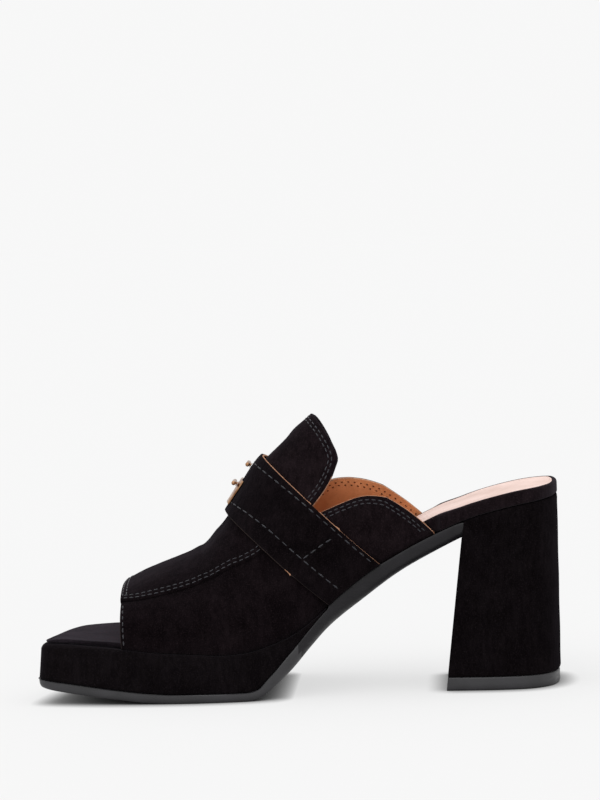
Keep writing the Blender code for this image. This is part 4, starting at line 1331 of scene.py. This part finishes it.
def quarter_end(side):
    """X just behind the place where the quarter of that side ends on the sole."""
    return place(float(FAN["foot"](QUARTER_END[side]))) + QUARTER_CLEARANCE


def footbed_inset(x, side, flush_run=FOOTBED_FLUSH_RUN):
    """Inset of the footbed: bare step at the toe, inside the upper's wall, flush behind the quarters."""
    inside = UPPER_INSET + WALL + FOOTBED_CLEARANCE
    covered = ease(x, TOE_OPENING, TOE_OPENING + FOOTBED_TOE_RUN)
    inset = FOOTBED_TOE_INSET + (inside - FOOTBED_TOE_INSET) * covered
    end = quarter_end(side)
    return inset * (1 - ease(x, end, end + flush_run))


RIM_RISE = 0.00105
TOE_TIP_DROP = 0.0009


def build_footbed():
    """Insole board wrapped in suede: padded step at the toe, band round the heel."""
    extra = []
    for side in ("inner", "outer"):
        extra += [quarter_end(side), quarter_end(side) + FOOTBED_FLUSH_RUN]
    xs = stations(place(0.0), place(1.0), extra=extra)

    def radius(x):
        return 1.35 * MM + 0.25 * MM * ease(x, TOE_OPENING, place(0.0))

    def foot_ring(amount, height):
        return (lambda x, side: footbed_inset(x, side) + amount, lambda x: footbed_foot(x) + height)

    def top_ring(angle):
        def height(x):
            tip = TOE_TIP_DROP * (1 - ease(x, place(0.01), place(0.06)))
            top = footbed_top(x) + RIM_RISE * sock_share(x) - tip
            return np.maximum(footbed_foot(x) + 0.0009, top - radius(x) * (1 - math.sin(angle)))
        return lambda x, side: footbed_inset(x, side) + radius(x) * (1 - math.cos(angle)), height

    def recess_ring(amount, drop):
        def height(x):
            tip = TOE_TIP_DROP * (1 - ease(x, place(0.01), place(0.06)))
            return footbed_top(x) + (RIM_RISE - drop) * sock_share(x) - tip
        return lambda x, side: footbed_inset(x, side, SOCK_FLUSH_RUN) + SOCK_EDGE_INSET + amount, height

    rows = ((0.0014, 0.0), (0.0007, 0.00012), (0.0002, 0.0004), (0.0, 0.0008))
    rings = [sides_of(xs, *foot_ring(*row)) for row in rows]
    rings += [sides_of(xs, *top_ring(math.radians(angle))) for angle in (0, 18, 36, 54, 72, 90)]
    rings += [sides_of(xs, *recess_ring(*row)) for row in ((-0.0004, 0.0), (-0.00022, 0.00012), (-0.00015, RIM_RISE))]

    def crown(x, share):
        pillow = np.sin(share * math.pi)
        toe = 0.00040 * ease(x, TOE_OPENING + 0.02, TOE_OPENING)
        dents = 0.00016 * np.sin(x * 260 + 0.5) * np.sin(share * 17 + x * 120) * ease(x, TOE_OPENING + 0.02, TOE_OPENING)
        return (toe * pillow + dents * pillow)

    vertices, faces = stack(rings, 22, crown)
    # Faces behind the toe take the lighter band suede, with painted top light.
    indices = [1 if min(vertices[i][0] for i in face) > TOE_OPENING + 0.02 else 0 for face in faces]
    add_piece("footbed_cover", "footbed_suede", vertices, faces, ("footbed_suede", "band_painted_light_suede"), indices,
              ("footbed",), 60)


def build_sock():
    """Smooth pink leather sock glued on the footbed, slightly cupped at the heel."""
    xs = stations(place(0.0) + SOCK_FRONT_SETBACK, place(1.0))

    def rim(amount):
        return lambda x, side: footbed_inset(x, side, SOCK_FLUSH_RUN) + SOCK_EDGE_INSET + amount

    def height(amount):
        return lambda x: footbed_top(x) + upright_gap(x) + amount

    profile = ((0.00018, 0.0), (0.0, 0.0002), (0.0, 0.00045), (0.00010, 0.00060), (0.00032, 0.00066), (0.0007, 0.00068))
    rings = [sides_of(xs, rim(inset), height(up)) for inset, up in profile]

    def crown(x, share):
        cup = -0.00045 * ease(x, place(0.72), place(0.92)) * np.sin(share * math.pi)
        ball = -0.00030 * bump_at(x, place(0.34), 0.022) * np.sin(share * math.pi) ** 2
        return cup + ball

    vertices, faces = stack(rings, 22, crown)
    add_piece("sock_leather_cover", "sock_leather", vertices, faces, ("sock",), nodes=("sock",), sharp=60)


def breast(z):
    """X of the heel's front face at a height."""
    return BREAST_FOOT + (BREAST_TOP - BREAST_FOOT) * np.clip(z / seat(BREAST_TOP), 0.0, 1.0)


BREAST_CORNER = 0.0004


def heel_sides(xs, inset, height, share):
    """Inner and outer points of a ring of the heel. The share is 0 at the floor and 1 at the footbed."""
    back = place(1.0) - HEEL_BACK_RAKE * (1 - share)
    width = HEEL_FOOT_WIDTH_SHARE + (1 - HEEL_FOOT_WIDTH_SHARE) * share
    setback = np.abs(xs - BREAST_TOP)
    corner = BREAST_CORNER
    inside = np.clip(1 - setback / corner, 0.0, 1.0)
    rounding = corner * (1 - np.sqrt(1 - inside * inside))
    pair = []
    for side in ("inner", "outer"):
        px, py = OUTLINE_CURVE.edge(side, xs, inset + rounding)
        along = (xs - BREAST_TOP) / (place(1.0) - BREAST_TOP)
        px = np.where(setback < corner, xs, px)
        z = height(px)
        front = breast(z)
        along = (px - BREAST_TOP) / (place(1.0) - BREAST_TOP)
        pair.append(np.stack([front + (back - front) * along, py * width, z], axis=1))
    return pair


def build_heel():
    """Suede covered block heel and its rubber top piece."""
    near = BREAST_TOP + BREAST_CORNER * np.array([0.04, 0.14, 0.30, 0.55, 1.0])
    rest = [x for x in stations(BREAST_TOP, place(1.0)) if x > BREAST_TOP + 1.2 * MM]
    xs = np.concatenate([[BREAST_TOP], near, rest])
    foot = TOP_PIECE_THICKNESS + GAP

    def height_at(share):
        return lambda x: foot + (seat(x) - foot) * share

    rows = [(0.0, 0.95), (0.002, 0.62), (0.006, 0.32), (0.012, 0.10), (0.022, 0.0)]
    rows += [(share, 0.06 * math.sin(share * 21)) for share in np.linspace(0.06, 0.95, 16)]
    rows += [(0.978, 0.0), (0.988, 0.10), (0.994, 0.32), (1.0, 0.70)]
    rings = [heel_sides(xs, inset * MM, height_at(share), share) for share, inset in rows]
    vertices, faces = stack(rings, 14)
    add_piece("heel_cover", "heel_suede", vertices, faces, ("heel_suede",), nodes=("heel",), sharp=60)

    rows = ((0.0, 0.9), (0.15, 0.55), (0.45, 0.2), (0.9, 0.0), (3.0, 0.0), (5.2, 0.0), (5.75, 0.08), (6.0, 0.3))
    rings = []
    for z, inset in rows:
        rings.append(heel_sides(xs, TOP_PIECE_INSET + inset * MM, lambda x, z=z: np.full_like(x, z * MM), 0.0))
    vertices, faces = stack(rings, 14)
    add_piece("top_piece_skin", "top_piece_rubber", vertices, faces, ("rubber",), nodes=("heel_top_piece",), sharp=50)


# Ornament


def strap_face(share, y):
    """Points and outward directions on the strap's outer face near the ridge, at distances across it."""
    section = np.full_like(y, STRAP_FRONT_SECTION + (STRAP_BACK_SECTION - STRAP_FRONT_SECTION) * share)
    low = np.full_like(y, -0.6)
    high = np.full_like(y, 0.6)
    for _ in range(40):
        turn = (low + high) / 2
        below = upper_base(section, turn)[:, 1] < y
        low = np.where(below, turn, low)
        high = np.where(below, high, turn)
    return on_surface(section, turn, GAP + STRAP_STAND_OFF + STRAP_THICKNESS + 0.0002)


def build_plate():
    """Plain slim plate with rounded edges that bends over the strap at the ridge."""
    outer = []
    inner = []
    for share in np.linspace(PLATE_FRONT_SHARE, PLATE_BACK_SHARE, 13):
        y = RIDGE_OFFSET + np.linspace(-PLATE_HALF_WIDTH, PLATE_HALF_WIDTH, 41)
        points, outward = strap_face(share, y)
        outer.append(points + outward * (GAP + PLATE_THICKNESS))
        inner.append(points + outward * GAP * 0.2)
    mesh = shell(np.array(outer), np.array(inner), lambda r, c: True, PLAIN_EDGE, 0.0003, lambda r, c, layer: 0,
                 lambda side: 0)
    add_piece("ornament_plate_skin", "ornament_metal", *mesh[:2], ("gold",), nodes=("ornament_plate",), sharp=40)


def turned(start, axis, profile, steps=28):
    """Vertices and faces of a turned solid. The profile's rows are distance along the axis and radius."""
    axis = np.asarray(axis, float)
    side = unit(np.cross(axis, np.eye(3)[int(np.argmin(np.abs(axis)))]))
    other = np.cross(axis, side)
    angles = 2 * math.pi * np.arange(steps) / steps
    ring = np.cos(angles)[:, None] * side + np.sin(angles)[:, None] * other
    vertices = np.concatenate([start + axis * distance + ring * radius for distance, radius in profile])
    last = len(vertices) - steps
    faces = [tuple(range(steps))[::-1], tuple(range(last, last + steps))]
    for low in range(0, last, steps):
        for k in range(steps):
            following = (k + 1) % steps
            faces.append((low + k, low + following, low + steps + following, low + steps + k))
    return vertices, faces


def build_bar(number, share, foot):
    """Round bar across the ridge on a short post with a washer."""
    points, outwards = strap_face(share, np.array([RIDGE_OFFSET]))
    point = points[0]
    outward = outwards[0]
    radius = BAR_DIAMETER / 2
    middle = point + outward * (foot + BAR_STAND_OFF + radius)
    across = np.array((0.0, 1.0, 0.0))
    ends = [(radius * (1 - math.cos(a)) * 0.8, radius * math.sin(a)) for a in np.radians((12, 30, 50, 70, 90))]
    profile = ends + [(BAR_LENGTH - d, r) for d, r in reversed(ends)]
    bar = turned(middle - across * BAR_LENGTH / 2, across, profile)
    post = POST_DIAMETER / 2
    washer = ((0.0, 1.7 * post), (0.00015, 1.75 * post), (0.0003, 1.6 * post), (0.00036, post))
    stem = turned(point + outward * (foot - 0.0002), outward, (*washer, (BAR_STAND_OFF + radius, post)))
    vertices = np.concatenate([bar[0], stem[0]])
    faces = bar[1] + [tuple(i + len(bar[0]) for i in face) for face in stem[1]]
    add_piece(f"ornament_bar_{number}_skin", "ornament_metal", vertices, faces, ("gold",),
              nodes=(f"ornament_bar_{number}",), sharp=40)


# Stage, light and camera


def build_stage():
    """Plain pale floor that glows evenly, with a painted contact shadow where ambient occlusion darkens its glow near
    the shoe.
    """
    size = 6.0
    mesh = bpy.data.meshes.new("floor")
    mesh.from_pydata([(-size, -size, -0.0001), (size, -size, -0.0001), (size, size, -0.0001), (-size, size, -0.0001)],
                     [], [(0, 1, 2, 3)])
    floor = bpy.data.objects.new("floor", mesh)
    bpy.context.scene.collection.objects.link(floor)
    look = bpy.data.materials.new("pale_floor")
    look.use_nodes = True
    shader = look.node_tree.nodes["Principled BSDF"]
    shader.inputs["Base Color"].default_value = (0.20, 0.20, 0.20, 1.0)
    shader.inputs["Emission Strength"].default_value = 0.655
    # Painted contact shadow: ambient occlusion, deepened by a gamma, darkens the floor's glow near the shoe.
    painted_contact_shadow = look.node_tree.nodes.new("ShaderNodeAmbientOcclusion")
    painted_contact_shadow.inputs["Distance"].default_value = 0.010
    deepened_painted_shadow = look.node_tree.nodes.new("ShaderNodeGamma")
    deepened_painted_shadow.inputs["Gamma"].default_value = 2.0
    look.node_tree.links.new(painted_contact_shadow.outputs["Color"], deepened_painted_shadow.inputs["Color"])
    look.node_tree.links.new(deepened_painted_shadow.outputs["Color"], shader.inputs["Emission Color"])
    shader.inputs["Roughness"].default_value = 0.9
    shader.inputs["Specular IOR Level"].default_value = 0.0
    mesh.materials.append(look)
    floor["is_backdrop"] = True


def build_light():
    """An even pale room with soft light from above and a little from the toe."""
    world = bpy.data.worlds.new("studio")
    world.use_nodes = True
    sky = world.node_tree.nodes["Background"]
    sky.inputs["Color"].default_value = (0.934, 0.934, 0.934, 1.0)
    sky.inputs["Strength"].default_value = 1.0
    bpy.context.scene.world = world
    suns = (("overhead", 1.25, 80.0, (12.0, -8.0)), ("front", 0.35, 50.0, (48.0, -20.0)))
    for name, strength, spread, (tilt, turn) in suns:
        light = bpy.data.lights.new(name, "SUN")
        light.energy = strength
        light.angle = math.radians(spread)
        sun = bpy.data.objects.new(name, light)
        sun.rotation_euler = (math.radians(tilt), 0.0, math.radians(turn))
        bpy.context.scene.collection.objects.link(sun)


CAMERA_TURN = math.radians(3.0)
CAMERA_PITCH = math.radians(4.2)
CAMERA_ROLL = math.radians(2.0)
CAMERA_DISTANCE = 1.8
CAMERA_AIM = Vector((0.003, 0.0, 0.1335))
LENS = 175.16


def build_camera():
    """The photograph's view: from the inner side, slightly from the heel and from above."""
    back = Vector((
        math.sin(CAMERA_TURN) * math.cos(CAMERA_PITCH),
        -math.cos(CAMERA_TURN) * math.cos(CAMERA_PITCH),
        math.sin(CAMERA_PITCH)))
    level_right = Vector((math.cos(CAMERA_TURN), math.sin(CAMERA_TURN), 0.0))
    level_up = back.cross(level_right)
    up = math.cos(CAMERA_ROLL) * level_up + math.sin(CAMERA_ROLL) * level_right
    right = math.cos(CAMERA_ROLL) * level_right - math.sin(CAMERA_ROLL) * level_up
    data = bpy.data.cameras.new("camera")
    data.lens = LENS
    camera = bpy.data.objects.new("camera", data)
    turn = Matrix((right, up, back)).transposed()
    camera.matrix_world = Matrix.Translation(CAMERA_AIM + back * CAMERA_DISTANCE) @ turn.to_4x4()
    bpy.context.scene.collection.objects.link(camera)
    bpy.context.scene.camera = camera


build_outsole()
build_platform()
build_footbed()
build_sock()
build_heel()
build_upper()
build_strap()
build_stitches()
build_plate()
build_bar(1, BAR_SHARES[0], 2 * GAP + PLATE_THICKNESS)
build_bar(2, BAR_SHARES[1], GAP)
build_stage()
build_light()
build_camera()
bpy.context.scene.view_settings.view_transform = "Standard"

boxes = {"cad": CAD_BOX, "visual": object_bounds()}
{name: [list(corner) for corner in box] for name, box in boxes.items()}
